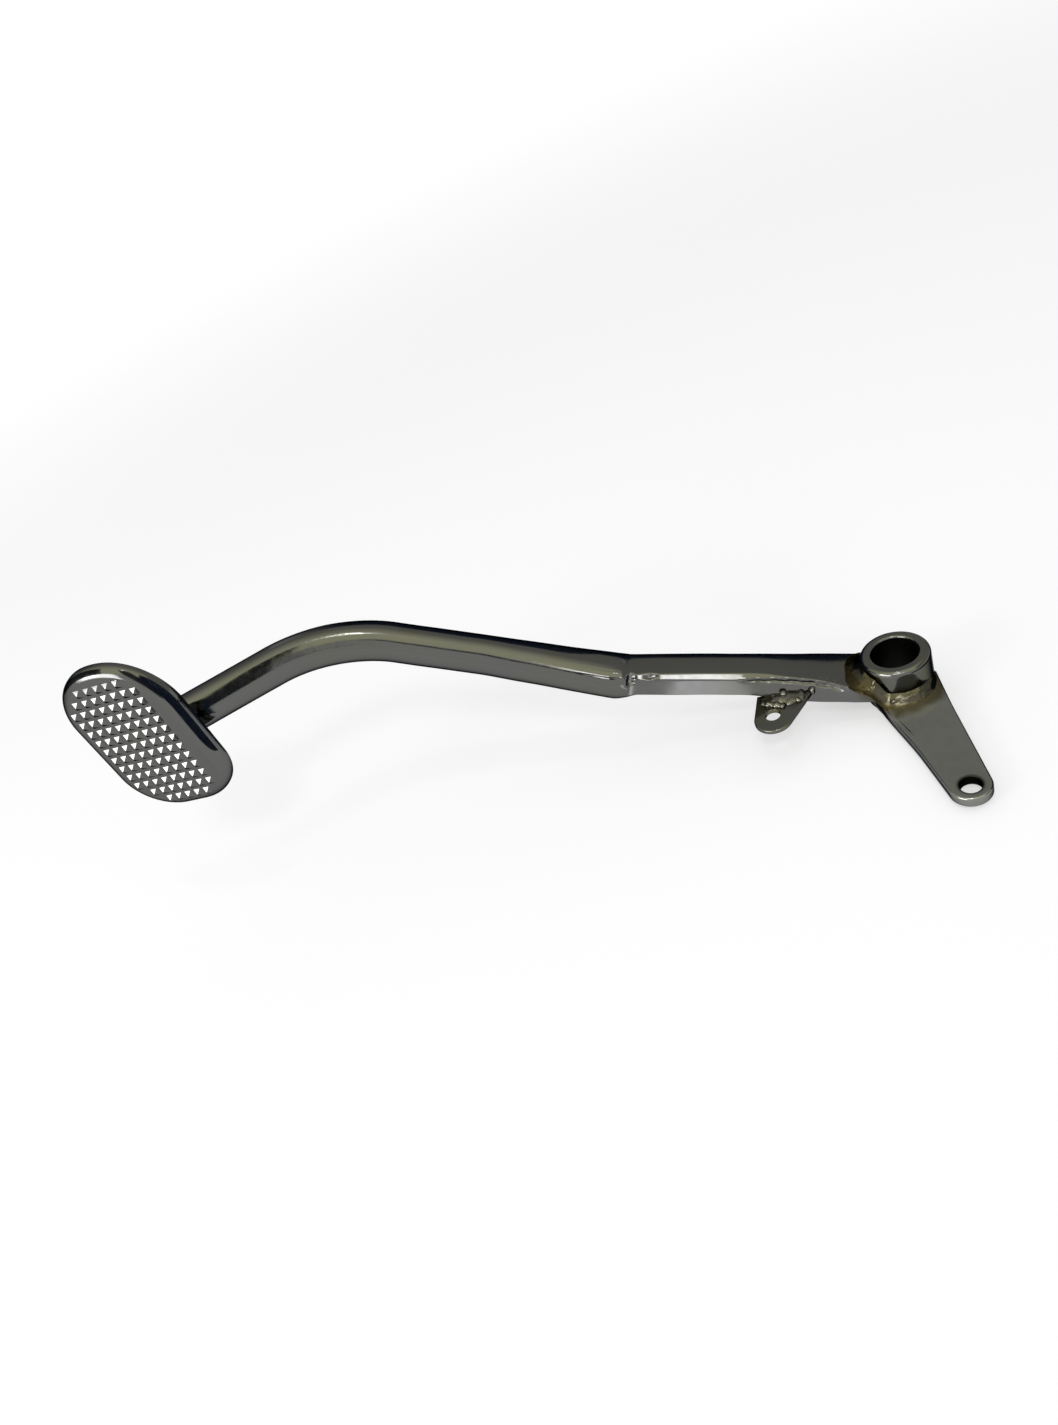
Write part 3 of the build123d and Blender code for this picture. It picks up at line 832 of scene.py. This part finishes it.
class Socket:
    """A shader socket that Python arithmetic turns into Math nodes."""

    def __init__(self, tree, link):
        self.tree = tree
        self.link = link

    def math(self, operation, *values):
        """One Math node of this tree, with sockets or numbers on its inputs."""
        return Finish.add(self.tree, "ShaderNodeMath", {"operation": operation}, dict(enumerate(values)))

    def __add__(self, other):
        return self.math("ADD", self, other)

    def __radd__(self, other):
        return self.math("ADD", other, self)

    def __sub__(self, other):
        return self.math("SUBTRACT", self, other)

    def __rsub__(self, other):
        return self.math("SUBTRACT", other, self)

    def __mul__(self, other):
        return self.math("MULTIPLY", self, other)

    def __rmul__(self, other):
        return self.math("MULTIPLY", other, self)


class Finish:
    """A material, with one method that adds any node."""

    def __init__(self, name):
        self.material = bpy.data.materials.new(name)
        self.material.use_nodes = True
        self.tree = self.material.node_tree
        self.surface = self.tree.nodes["Principled BSDF"]

    @staticmethod
    def plug(tree, value, target):
        """A link or a constant on a socket."""
        if isinstance(value, Socket):
            tree.links.new(value.link, target)
        else:
            target.default_value = value

    @staticmethod
    def add(tree, kind, settings, inputs, output=0):
        """Adds a node: its settings first, then numbers or links on its sockets. Gives one of its outputs."""
        node = tree.nodes.new(kind)
        for setting, value in settings.items():
            setattr(node, setting, value)
        for name, value in inputs.items():
            Finish.plug(tree, value, node.inputs[name])
        return Socket(tree, node.outputs[output])

    def node(self, kind, settings=None, inputs=None, output=0):
        """A node of this material."""
        return self.add(self.tree, kind, settings or {}, inputs or {}, output)

    def feed(self, **sockets):
        """Links or constants on the surface shader, with _ for a space in a socket's name."""
        for name, value in sockets.items():
            self.plug(self.tree, value, self.surface.inputs[name.replace("_", " ")])

    def place(self):
        """Object coordinates, in metres."""
        return self.node("ShaderNodeTexCoord", output="Object")

    def mix(self, share, first, second):
        """Colour between two colours."""
        return self.node("ShaderNodeMix", {"data_type": "RGBA"}, {0: share, 6: first, 7: second}, 2)

    def noise(self, place, scale, detail, roughness, distortion):
        """Noise from 0 to 1, at a scale in cells per metre."""
        return self.node("ShaderNodeTexNoise", {}, {"Vector": place, "Scale": scale, "Detail": detail,
                                                    "Roughness": roughness, "Distortion": distortion})

    def between(self, value, low, high):
        """0 below low, 1 above high, and an S-shaped rise between."""
        return self.node("ShaderNodeMapRange", {"interpolation_type": "SMOOTHSTEP"},
                         {"Value": value, "From Min": low, "From Max": high})

    def stretched(self, place, scale):
        """Coordinates stretched along each axis."""
        return self.node("ShaderNodeMapping", {}, {"Vector": place, "Scale": scale})

    def off_axis(self, place, middle):
        """Distance of a place from an upright axis through a middle in millimetres, in metres."""
        flat = self.node("ShaderNodeVectorMath", {"operation": "MULTIPLY"}, {0: place, 1: (1.0, 1.0, 0.0)})
        spot = (middle[0] * MM, middle[1] * MM, 0.0)
        return self.node("ShaderNodeVectorMath", {"operation": "DISTANCE"}, {0: flat, 1: spot}, "Value")

    def bump(self, height, strength, distance):
        """Normals bent by a height, at a distance in metres."""
        return self.node("ShaderNodeBump", {}, {"Strength": strength, "Distance": distance, "Height": height})


# Colours of the plating
plate_grey = (0.122, 0.122, 0.120, 1.0)
# Lighter copy of the plating grey, painted light, given to the lever
plate_painted_lighter = (0.230, 0.231, 0.216, 1.0)
plate_olive = (0.128, 0.128, 0.092, 1.0)
heat_brown = (0.062, 0.053, 0.028, 1.0)
heat_gold = (0.105, 0.090, 0.050, 1.0)
# Painted shade for the walls of holes and round their rims
hole_painted_shade = (0.006, 0.006, 0.004, 1.0)
weld_olive = (0.088, 0.083, 0.058, 1.0)
# Lighter copy of the weld grey, painted light, given to the tab's weld
weld_painted_lighter = (0.165, 0.163, 0.140, 1.0)
weld_brown = (0.044, 0.036, 0.017, 1.0)
edge_tint = (0.17, 0.18, 0.20, 1.0)

# Noises: cells per metre, detail, roughness and distortion. The grain's cells come from its stretch.
cloud_noise = (45.0, 4.0, 0.55, 0.4)
streak_noise = (200.0, 3.0, 0.6, 0.0)
grain_noise = (1.0, 3.0, 0.6, 0.0)
grain_stretch = (9.0, 900.0, 900.0)
haze_noise = (320.0, 4.0, 0.6, 0.0)
heat_edge_noise = (110.0, 2.0, 0.5, 0.0)
heat_hue_noise = (95.0, 2.0, 0.5, 0.8)
skin_noise = (420.0, 3.0, 0.5, 0.0)
stain_noise = (130.0, 3.0, 0.55, 0.6)
weld_haze_noise = (600.0, 3.0, 0.6, 0.0)
weld_grain_noise = (650.0, 3.0, 0.5, 0.0)

# Plating: limits between which a noise rises, shares, roughnesses, and the strength and distance of its bump
patina_clouds = 0.7
patina_streaks = 0.3
patina_limits = (0.40, 0.62)
plate_rough = 0.11
haze_rough = 0.09
haze_limits = (0.35, 0.75)
streak_rough = 0.05
streak_limits = (0.5, 0.8)
heat_wander = 0.009
heat_cover = 0.9
heat_hue_limits = (0.48, 0.74)
heat_rough = 0.07
hole_wall_depth = 0.02
hole_rough = 0.3
skin_share = 0.8
skin_streaks = 0.2
skin_bump = (0.05, 0.0003)
stain_limits = (0.38, 0.62)
weld_rough = 0.10
weld_haze_rough = 0.12
weld_haze_limits = (0.4, 0.7)
weld_foot_rough = 0.16
weld_bump = (0.12, 0.0005)
pivot_axis = (0.0, 0.0)
tab_heat_middle = (-41.0, -9.0)


def plated(name, olive, grey=plate_grey, heat_reach=None, heat_middle=pivot_axis, grain=False, hole=None):
    """Bright plating on steel: grey to olive by streaks and clouds, brown and gold near a weld.
    Heat is a share that falls off with the distance from an upright axis, between two reaches. Roughness varies
    with fine haze, and a faint orange peel with drawing lines along the grain bends the reflections. A hole, its
    middle, radius and the reach of its painted shade, gets painted shade: black on its wall, fading out over that
    reach round its rim."""
    finish = Finish(name)
    place = finish.place()
    clouds = finish.noise(place, *cloud_noise)
    if grain:
        lines_at = finish.node("ShaderNodeAttribute", {"attribute_name": GRAIN}, {}, "Vector")
        streaks = finish.noise(finish.stretched(lines_at, grain_stretch), *grain_noise)
    else:
        streaks = finish.noise(place, *streak_noise)
    patina = finish.between(clouds * patina_clouds + streaks * patina_streaks, *patina_limits) * olive
    base = finish.mix(patina, grey, plate_olive)
    haze = finish.between(finish.noise(place, *haze_noise), *haze_limits)
    rough = plate_rough + haze_rough * haze + streak_rough * finish.between(streaks, *streak_limits)
    if heat_reach is not None:
        wander = (finish.noise(place, *heat_edge_noise) - 0.5) * heat_wander
        off_weld = finish.off_axis(place, heat_middle) + wander
        heat = 1.0 - finish.between(off_weld, heat_reach[0] * MM, heat_reach[1] * MM)
        hue = finish.between(finish.noise(place, *heat_hue_noise), *heat_hue_limits)
        base = finish.mix(heat * heat_cover, base, finish.mix(hue, heat_brown, heat_gold))
        rough = rough + heat * heat_rough
    # Painted shade in a hole: black on its wall, fading into the plating over a reach round its rim
    if hole is not None:
        middle, radius, shade_reach = hole
        off_hole = finish.off_axis(place, middle)
        outside = finish.between(off_hole, (radius - hole_wall_depth) * MM, (radius + shade_reach) * MM)
        base = finish.mix(outside, hole_painted_shade, base)
        rough = rough + (1.0 - outside) * hole_rough
    skin = finish.noise(place, *skin_noise) * skin_share + streaks * skin_streaks
    finish.feed(Base_Color=base, Roughness=rough, Normal=finish.bump(skin, *skin_bump), Metallic=1.0,
                Specular_Tint=edge_tint)
    return finish.material


def weld_plating(name, grey, brown, foot=None):
    """Plating over a weld: glossy, grey with a share of brown between the lumps, under a fine uneven skin.
    A foot, two distances from the pivot's axis, turns the weld brown and duller from the one to the other."""
    finish = Finish(name)
    place = finish.place()
    stain = finish.between(finish.noise(place, *stain_noise), *stain_limits) * brown
    haze = finish.between(finish.noise(place, *weld_haze_noise), *weld_haze_limits)
    rough = weld_rough + weld_haze_rough * haze
    if foot is not None:
        low_side = finish.between(finish.off_axis(place, pivot_axis), foot[0] * MM, foot[1] * MM)
        stain = stain.math("MAXIMUM", stain, low_side)
        rough = rough + weld_foot_rough * low_side
    base = finish.mix(stain, grey, weld_brown)
    grains = finish.noise(place, *weld_grain_noise)
    finish.feed(Base_Color=base, Roughness=rough, Normal=finish.bump(grains, *weld_bump), Metallic=1.0,
                Specular_Tint=edge_tint)
    return finish.material


arm_plating = plated("arm_plating", olive=0.3, heat_reach=(15.0, 20.5), grain=True)
pad_plating = plated("pad_plating", olive=0.15)
# The boss's bore and the lever's rod hole get painted shade
boss_plating = plated("boss_plating", olive=0.8, hole=(pivot_axis, bore_radius, 0.12))
# The lever's grey is a lighter copy of the plating, painted light
lever_plating = plated("lever_plating", olive=0.25, grey=plate_painted_lighter, heat_reach=(16.5, 21.0),
                       hole=(rod_hole, rod_hole_radius, 1.5))
tab_plating = plated("tab_plating", olive=1.0, heat_reach=(5.0, 10.0), heat_middle=tab_heat_middle)
boss_weld_plating = weld_plating("boss_weld_plating", weld_olive, brown=0.6,
                                 foot=(boss_radius + 2.4, boss_radius + 3.8))
# The tab's weld gets a lighter copy of the weld grey, painted light
tab_weld_plating = weld_plating("tab_weld_plating", weld_painted_lighter, brown=0.3)

arm_surface, arm_grain = arm_shell()
lever_surface = plate_shell(lever_outline(), rod_hole[:2], rod_hole_radius, lever_low[2], lever_high[2], lever_edge,
                            lever_rise)
tab_surface = plate_shell(tab_outline(), tab_hole[:2], tab_hole_radius, tab_low[2], tab_high[2], tab_edge)
tab_weld_surfaces = [bead_shell(np.array(start), np.array(end), radius, flatness, lumpiness)
                     for start, end, radius, flatness, lumpiness in tab_weld_beads]
tab_weld_surfaces += [drop_shell(middle, radius, seed) for seed, (middle, radius) in enumerate(tab_weld_drops)]
make_piece("arm", [arm_surface], arm_plating, "plated_steel", "arm_tube", grain=arm_grain)
make_piece("pad", [pad_shell(), tread_shells()], pad_plating, "plated_steel", "foot_pad")
make_piece("boss", [boss_shell()], boss_plating, "plated_steel", "pivot_boss")
make_piece("lever", [lever_surface], lever_plating, "plated_steel", "lever_plate")
make_piece("tab", [tab_surface], tab_plating, "plated_steel", "spring_tab")
make_piece("boss_bead", [boss_weld_shell()], boss_weld_plating, "plated_weld", "boss_weld")
make_piece("tab_bead", tab_weld_surfaces, tab_weld_plating, "plated_weld", "tab_weld")
make_piece("pad_bead", [pad_weld_shell()], boss_weld_plating, "plated_weld", "pad_weld")

# Stage: pale floor in white surroundings, soft lamps, and cards that only the plating mirrors. Metres from here on.
floor_level = cad_box[0][2]
floor_half = 30.0
floor_grey = (0.60, 0.60, 0.60, 1.0)
black = (0.0, 0.0, 0.0, 1.0)
white = (1.0, 1.0, 1.0, 1.0)
floor_glow_near = 0.50
floor_glow_far = 1.0
floor_fade = (0.45, 1.6)
world_light = 0.60
card_navy = (0.030, 0.045, 0.085)
card_dark = (0.06, 0.065, 0.075)
card_bright = (7.5, 7.5, 7.5)
card_off = (1.0, 1.0, 1.0)
card_pale = (2.70, 2.72, 2.76)
ceiling_olive = (1.45, 1.45, 1.05)
ceiling_dim = (0.50, 0.50, 0.47)
along_x = (1.0, 0.0, 0.0)
along_y = (0.0, 1.0, 0.0)
along_z = (0.0, 0.0, 1.0)


def seen_plainly(tree):
    """1 for camera, glossy and transmission rays, else 0."""
    rays = [Finish.add(tree, "ShaderNodeLightPath", {}, {}, ray)
            for ray in ("Is Camera Ray", "Is Glossy Ray", "Is Transmission Ray")]
    return rays[0].math("MINIMUM", rays[0] + rays[1] + rays[2], 1.0)


def flat_sheet(name, corners, finish):
    """A single four-sided sheet of the stage, from its corners in metres."""
    mesh = bpy.data.meshes.new(name)
    mesh.from_pydata(corners, [], [(0, 1, 2, 3)])
    mesh.materials.append(finish)
    sheet = bpy.data.objects.new(name, mesh)
    bpy.context.scene.collection.objects.link(sheet)
    return sheet


def mirror_card(name, corners, near_colour, far_colour, near, far, along, one_way=False):
    """A glowing card that shows only in mirroring surfaces, shaded from one colour to another along one way.
    A card that works one way is clear from behind."""
    paint = Finish(name + "_paint")
    at = paint.node("ShaderNodeVectorMath", {"operation": "DOT_PRODUCT"}, {0: paint.place(), 1: along}, "Value")
    colour = paint.mix(paint.between(at, near, far), (*near_colour, 1.0), (*far_colour, 1.0))
    paint.feed(Base_Color=black, Roughness=1.0, Specular_IOR_Level=0.0, Emission_Color=colour, Emission_Strength=1.0)
    if one_way:
        behind = paint.node("ShaderNodeNewGeometry", output="Backfacing")
        clear = paint.node("ShaderNodeBsdfTransparent")
        plain = Socket(paint.tree, paint.surface.outputs[0])
        mixed = paint.node("ShaderNodeMixShader", {}, {0: behind, 1: plain, 2: clear})
        paint.tree.links.new(mixed.link, paint.tree.nodes["Material Output"].inputs["Surface"])
    card = flat_sheet(name, corners, paint.material)
    card.visible_camera = False
    card.visible_diffuse = False
    card.visible_shadow = False


def plain_card(name, colour, corners, one_way=False):
    """A mirror card of one colour."""
    mirror_card(name, corners, colour, colour, 0.0, 1.0, along_z, one_way)


floor_paint = Finish("floor_paint")
from_middle = floor_paint.node("ShaderNodeVectorMath", {"operation": "LENGTH"}, {0: floor_paint.place()}, "Value")
spread = floor_paint.between(from_middle, *floor_fade)
glow = floor_glow_near + spread * (floor_glow_far - floor_glow_near)
floor_paint.feed(Base_Color=floor_paint.mix(spread, floor_grey, black), Roughness=1.0, Specular_IOR_Level=0.0,
                 Emission_Color=floor_paint.mix(glow * seen_plainly(floor_paint.tree), black, white),
                 Emission_Strength=1.0)
flat_sheet("floor", [(-floor_half, -floor_half, floor_level), (floor_half, -floor_half, floor_level),
                     (floor_half, floor_half, floor_level), (-floor_half, floor_half, floor_level)],
           floor_paint.material)

# Cards behind the arm: the one behind the tube fades out before it comes behind the pad
card_behind = 0.045
behind_left = -0.265
behind_full = -0.205
behind_crease = -0.095
behind_boss = 0.0
mirror_card("card_behind_tube",
            [(behind_left, card_behind, floor_level), (behind_crease, card_behind, floor_level),
             (behind_crease, card_behind, 0.085), (behind_left, card_behind, 0.157)],
            card_off, card_navy, behind_left, behind_full, along_x)
plain_card("card_behind_flat", card_navy,
           [(behind_crease, card_behind, floor_level), (behind_boss, card_behind, floor_level),
            (behind_boss, card_behind, 0.026), (behind_crease, card_behind, 0.056)])

# Cards by the pad and the lever, the ceiling, and cards by the toe
by_pad = pad_high[0] * MM + 0.003
by_pad_front, by_pad_back = -0.0660, -0.044
by_pad_low, by_pad_high = 0.069, 0.125
by_lever = 0.034
by_lever_front, by_lever_back = -0.06, 0.03
by_lever_high = 0.006
ceiling_level = 1.1
ceiling_left, ceiling_right = -2.0, 1.8
ceiling_front, ceiling_back = -1.00, 2.6
ceiling_fade = (-0.35, 0.65)
by_toe_front, by_toe_back = -0.115, -0.060
by_toe_left, by_toe_right, by_toe_right_back = -0.245, -0.187, -0.200
by_toe_left_top, by_toe_right_top = 0.200, 0.185
plain_card("card_by_pad", card_navy,
           [(by_pad, by_pad_front, by_pad_low), (by_pad, by_pad_front, by_pad_high),
            (by_pad, by_pad_back, by_pad_high), (by_pad, by_pad_back, by_pad_low)], one_way=True)
plain_card("card_over_pad", card_dark,
           [(-0.4265, -0.0583, 0.1223), (-0.4062, 0.0090, 0.0932),
            (-0.3134, -0.0523, 0.2493), (-0.3231, -0.1461, 0.2130)])
plain_card("card_by_lever", card_navy,
           [(by_lever, by_lever_front, floor_level), (by_lever, by_lever_front, by_lever_high),
            (by_lever, by_lever_back, by_lever_high), (by_lever, by_lever_back, floor_level)])
mirror_card("card_ceiling",
            [(ceiling_left, ceiling_front, ceiling_level), (ceiling_right, ceiling_front, ceiling_level),
             (ceiling_right, ceiling_back, ceiling_level), (ceiling_left, ceiling_back, ceiling_level)],
            ceiling_olive, ceiling_dim, *ceiling_fade, along_y)
plain_card("card_by_toe", card_dark,
           [(by_toe_left, by_toe_front, 0.085), (by_toe_right, by_toe_front, 0.105),
            (by_toe_right, by_toe_front, by_toe_right_top), (by_toe_left, by_toe_front, by_toe_left_top)])
plain_card("card_over_toe", card_dark,
           [(by_toe_left, by_toe_front, by_toe_left_top), (by_toe_right, by_toe_front, by_toe_right_top),
            (by_toe_right_back, by_toe_back, 0.250), (by_toe_left, by_toe_back, 0.270)])

# Cards on the floor in front of the flat part, and far out on the right
front_left, front_right = -0.090, -0.025
front_near, front_far = -0.20, -0.05
front_level = floor_level + 0.001
front_fade = (-0.085, -0.03)
far_right = 0.9
far_right_front, far_right_back = -0.6, 1.5
far_right_low = 0.1
mirror_card("card_front_floor",
            [(front_left, front_near, front_level), (front_right, front_near, front_level),
             (front_right, front_far, front_level), (front_left, front_far, front_level)],
            card_pale, card_off, *front_fade, along_x)
plain_card("card_right", ceiling_dim,
           [(far_right, far_right_front, far_right_low), (far_right, far_right_back, far_right_low),
            (far_right, far_right_back, ceiling_level), (far_right, far_right_front, ceiling_level)])


def strip_card(name, run, off, aims, distance, half_height, near_colour, far_colour, fade):
    """A card along a stretch of the arm, at a distance from a line on it, where that line mirrors it.
    Corners are the line's two ends, each moved along its own aim and then up and down across it, in metres.
    The fade is two distances along the arm, between which the card turns from one colour to the other."""
    across, out = off
    ends = on_arm(np.array(run), np.full(2, across), np.full(2, out)) * MM
    middle = ends + np.array(aims) * distance
    along = way(*(middle[1] - middle[0]))
    lift = np.cross(along, np.array(aims))
    lift = lift / np.linalg.norm(lift, axis=-1, keepdims=True) * half_height
    corners = [tuple(middle[0] - lift[0]), tuple(middle[1] - lift[1]),
               tuple(middle[1] + lift[1]), tuple(middle[0] + lift[0])]
    first, last = middle @ along
    near, far = [first + (last - first) * (stop - run[0]) / (run[1] - run[0]) for stop in fade]
    mirror_card(name, corners, near_colour, far_colour, near, far, tuple(along))


def aimed(azimuth, elevation):
    """Unit vector at degrees round from -Y towards +X, and up."""
    turn, rise = np.radians([azimuth, elevation])
    return way(np.sin(turn) * np.cos(rise), -np.cos(turn) * np.cos(rise), np.sin(rise))


strip_card("card_tube_line", run=(108.0, 198.0), off=(6.04, 5.25), aims=(aimed(24.5, 35.0), aimed(9.9, 41.4)),
           distance=0.15, half_height=0.010, near_colour=card_dark, far_colour=card_dark, fade=(108.0, 198.0))
strip_card("card_ridge_light", run=(40.0, 96.5), off=(6.3, 4.5), aims=(aimed(28.1, 43.0), aimed(16.7, 47.2)),
           distance=0.20, half_height=0.020, near_colour=card_off, far_colour=card_bright, fade=(40.0, 68.0))


def turned_to(place, aim):
    """Unit ways right, up and back of something at a place that looks at a spot."""
    back = way(*(np.array(place) - np.array(aim)))
    right = way(*np.cross(way(0, 0, 1), back))
    return right, np.cross(back, right), back


def light_card(name, place, aim, width, height):
    """A bright card that shows only in mirroring surfaces, at a place and turned to a spot."""
    right, up, _ = turned_to(place, aim)
    corners = [tuple(np.array(place) + x * width / 2 * right + y * height / 2 * up)
               for x, y in ((-1, -1), (1, -1), (1, 1), (-1, 1))]
    plain_card(name, card_bright, corners)


pad_spot = (-0.27, -0.04, 0.08)
light_card("card_left_light", place=(-0.691, -0.714, 0.502), aim=pad_spot, width=0.585, height=0.46)
light_card("card_boss_light", place=(0.0334, -0.169, 0.1975), aim=(0.0, -0.012, 0.006), width=0.040, height=0.030)


def soft_lamp(name, place, aim, width, height, power, mirrored=True):
    """A rectangular lamp at a place, turned to look at a spot, in metres and watts. The plating may mirror it."""
    light = bpy.data.lights.new(name, "AREA")
    light.shape = "RECTANGLE"
    light.size = width
    light.size_y = height
    light.energy = power
    lamp = bpy.data.objects.new(name, light)
    turned = np.eye(4)
    turned[:3, 0], turned[:3, 1], turned[:3, 2] = turned_to(place, aim)
    turned[:3, 3] = place
    lamp.matrix_world = Matrix(turned.tolist())
    lamp.visible_glossy = mirrored
    bpy.context.scene.collection.objects.link(lamp)


soft_lamp("front_lamp", place=(0.06, -0.60, 0.82), aim=(-0.08, 0.0, 0.02), width=0.20, height=0.14, power=1.4,
          mirrored=False)
soft_lamp("left_lamp", place=(-0.86, -0.55, 0.48), aim=pad_spot, width=0.34, height=0.22, power=1.6)
soft_lamp("top_lamp", place=(-0.02, -0.16, 1.02), aim=(-0.21, 0.0, 0.08), width=0.05, height=0.13, power=0.45)

world = bpy.data.worlds.new("studio")
bpy.context.scene.world = world
world.use_nodes = True
sky = world.node_tree.nodes["Background"]
sky.inputs["Color"].default_value = white
world_strength = world_light + seen_plainly(world.node_tree) * (1.0 - world_light)
world.node_tree.links.new(world_strength.link, sky.inputs["Strength"])

# Camera at the photograph's viewing angle, with its focal length and the photograph's height in pixels
camera_place = (-0.0149, -0.2908, 0.2613)
camera_right = (0.9245, 0.1058, -0.3662)
camera_up = (0.2024, 0.6778, 0.7069)
camera_back = (0.3230, -0.7276, 0.6052)
camera_focus = 960.0
image_height = 1425.0
film_long_side = 36.0
nearest_seen = 0.01
lens = bpy.data.cameras.new("camera")
lens.sensor_width = film_long_side
lens.lens = film_long_side * camera_focus / image_height
lens.clip_start = nearest_seen
camera = bpy.data.objects.new("camera", lens)
camera.matrix_world = Matrix([(camera_right[axis], camera_up[axis], camera_back[axis], camera_place[axis])
                              for axis in range(3)] + [(0.0, 0.0, 0.0, 1.0)])
bpy.context.scene.collection.objects.link(camera)
bpy.context.scene.camera = camera
bpy.context.scene.view_settings.view_transform = "Standard"
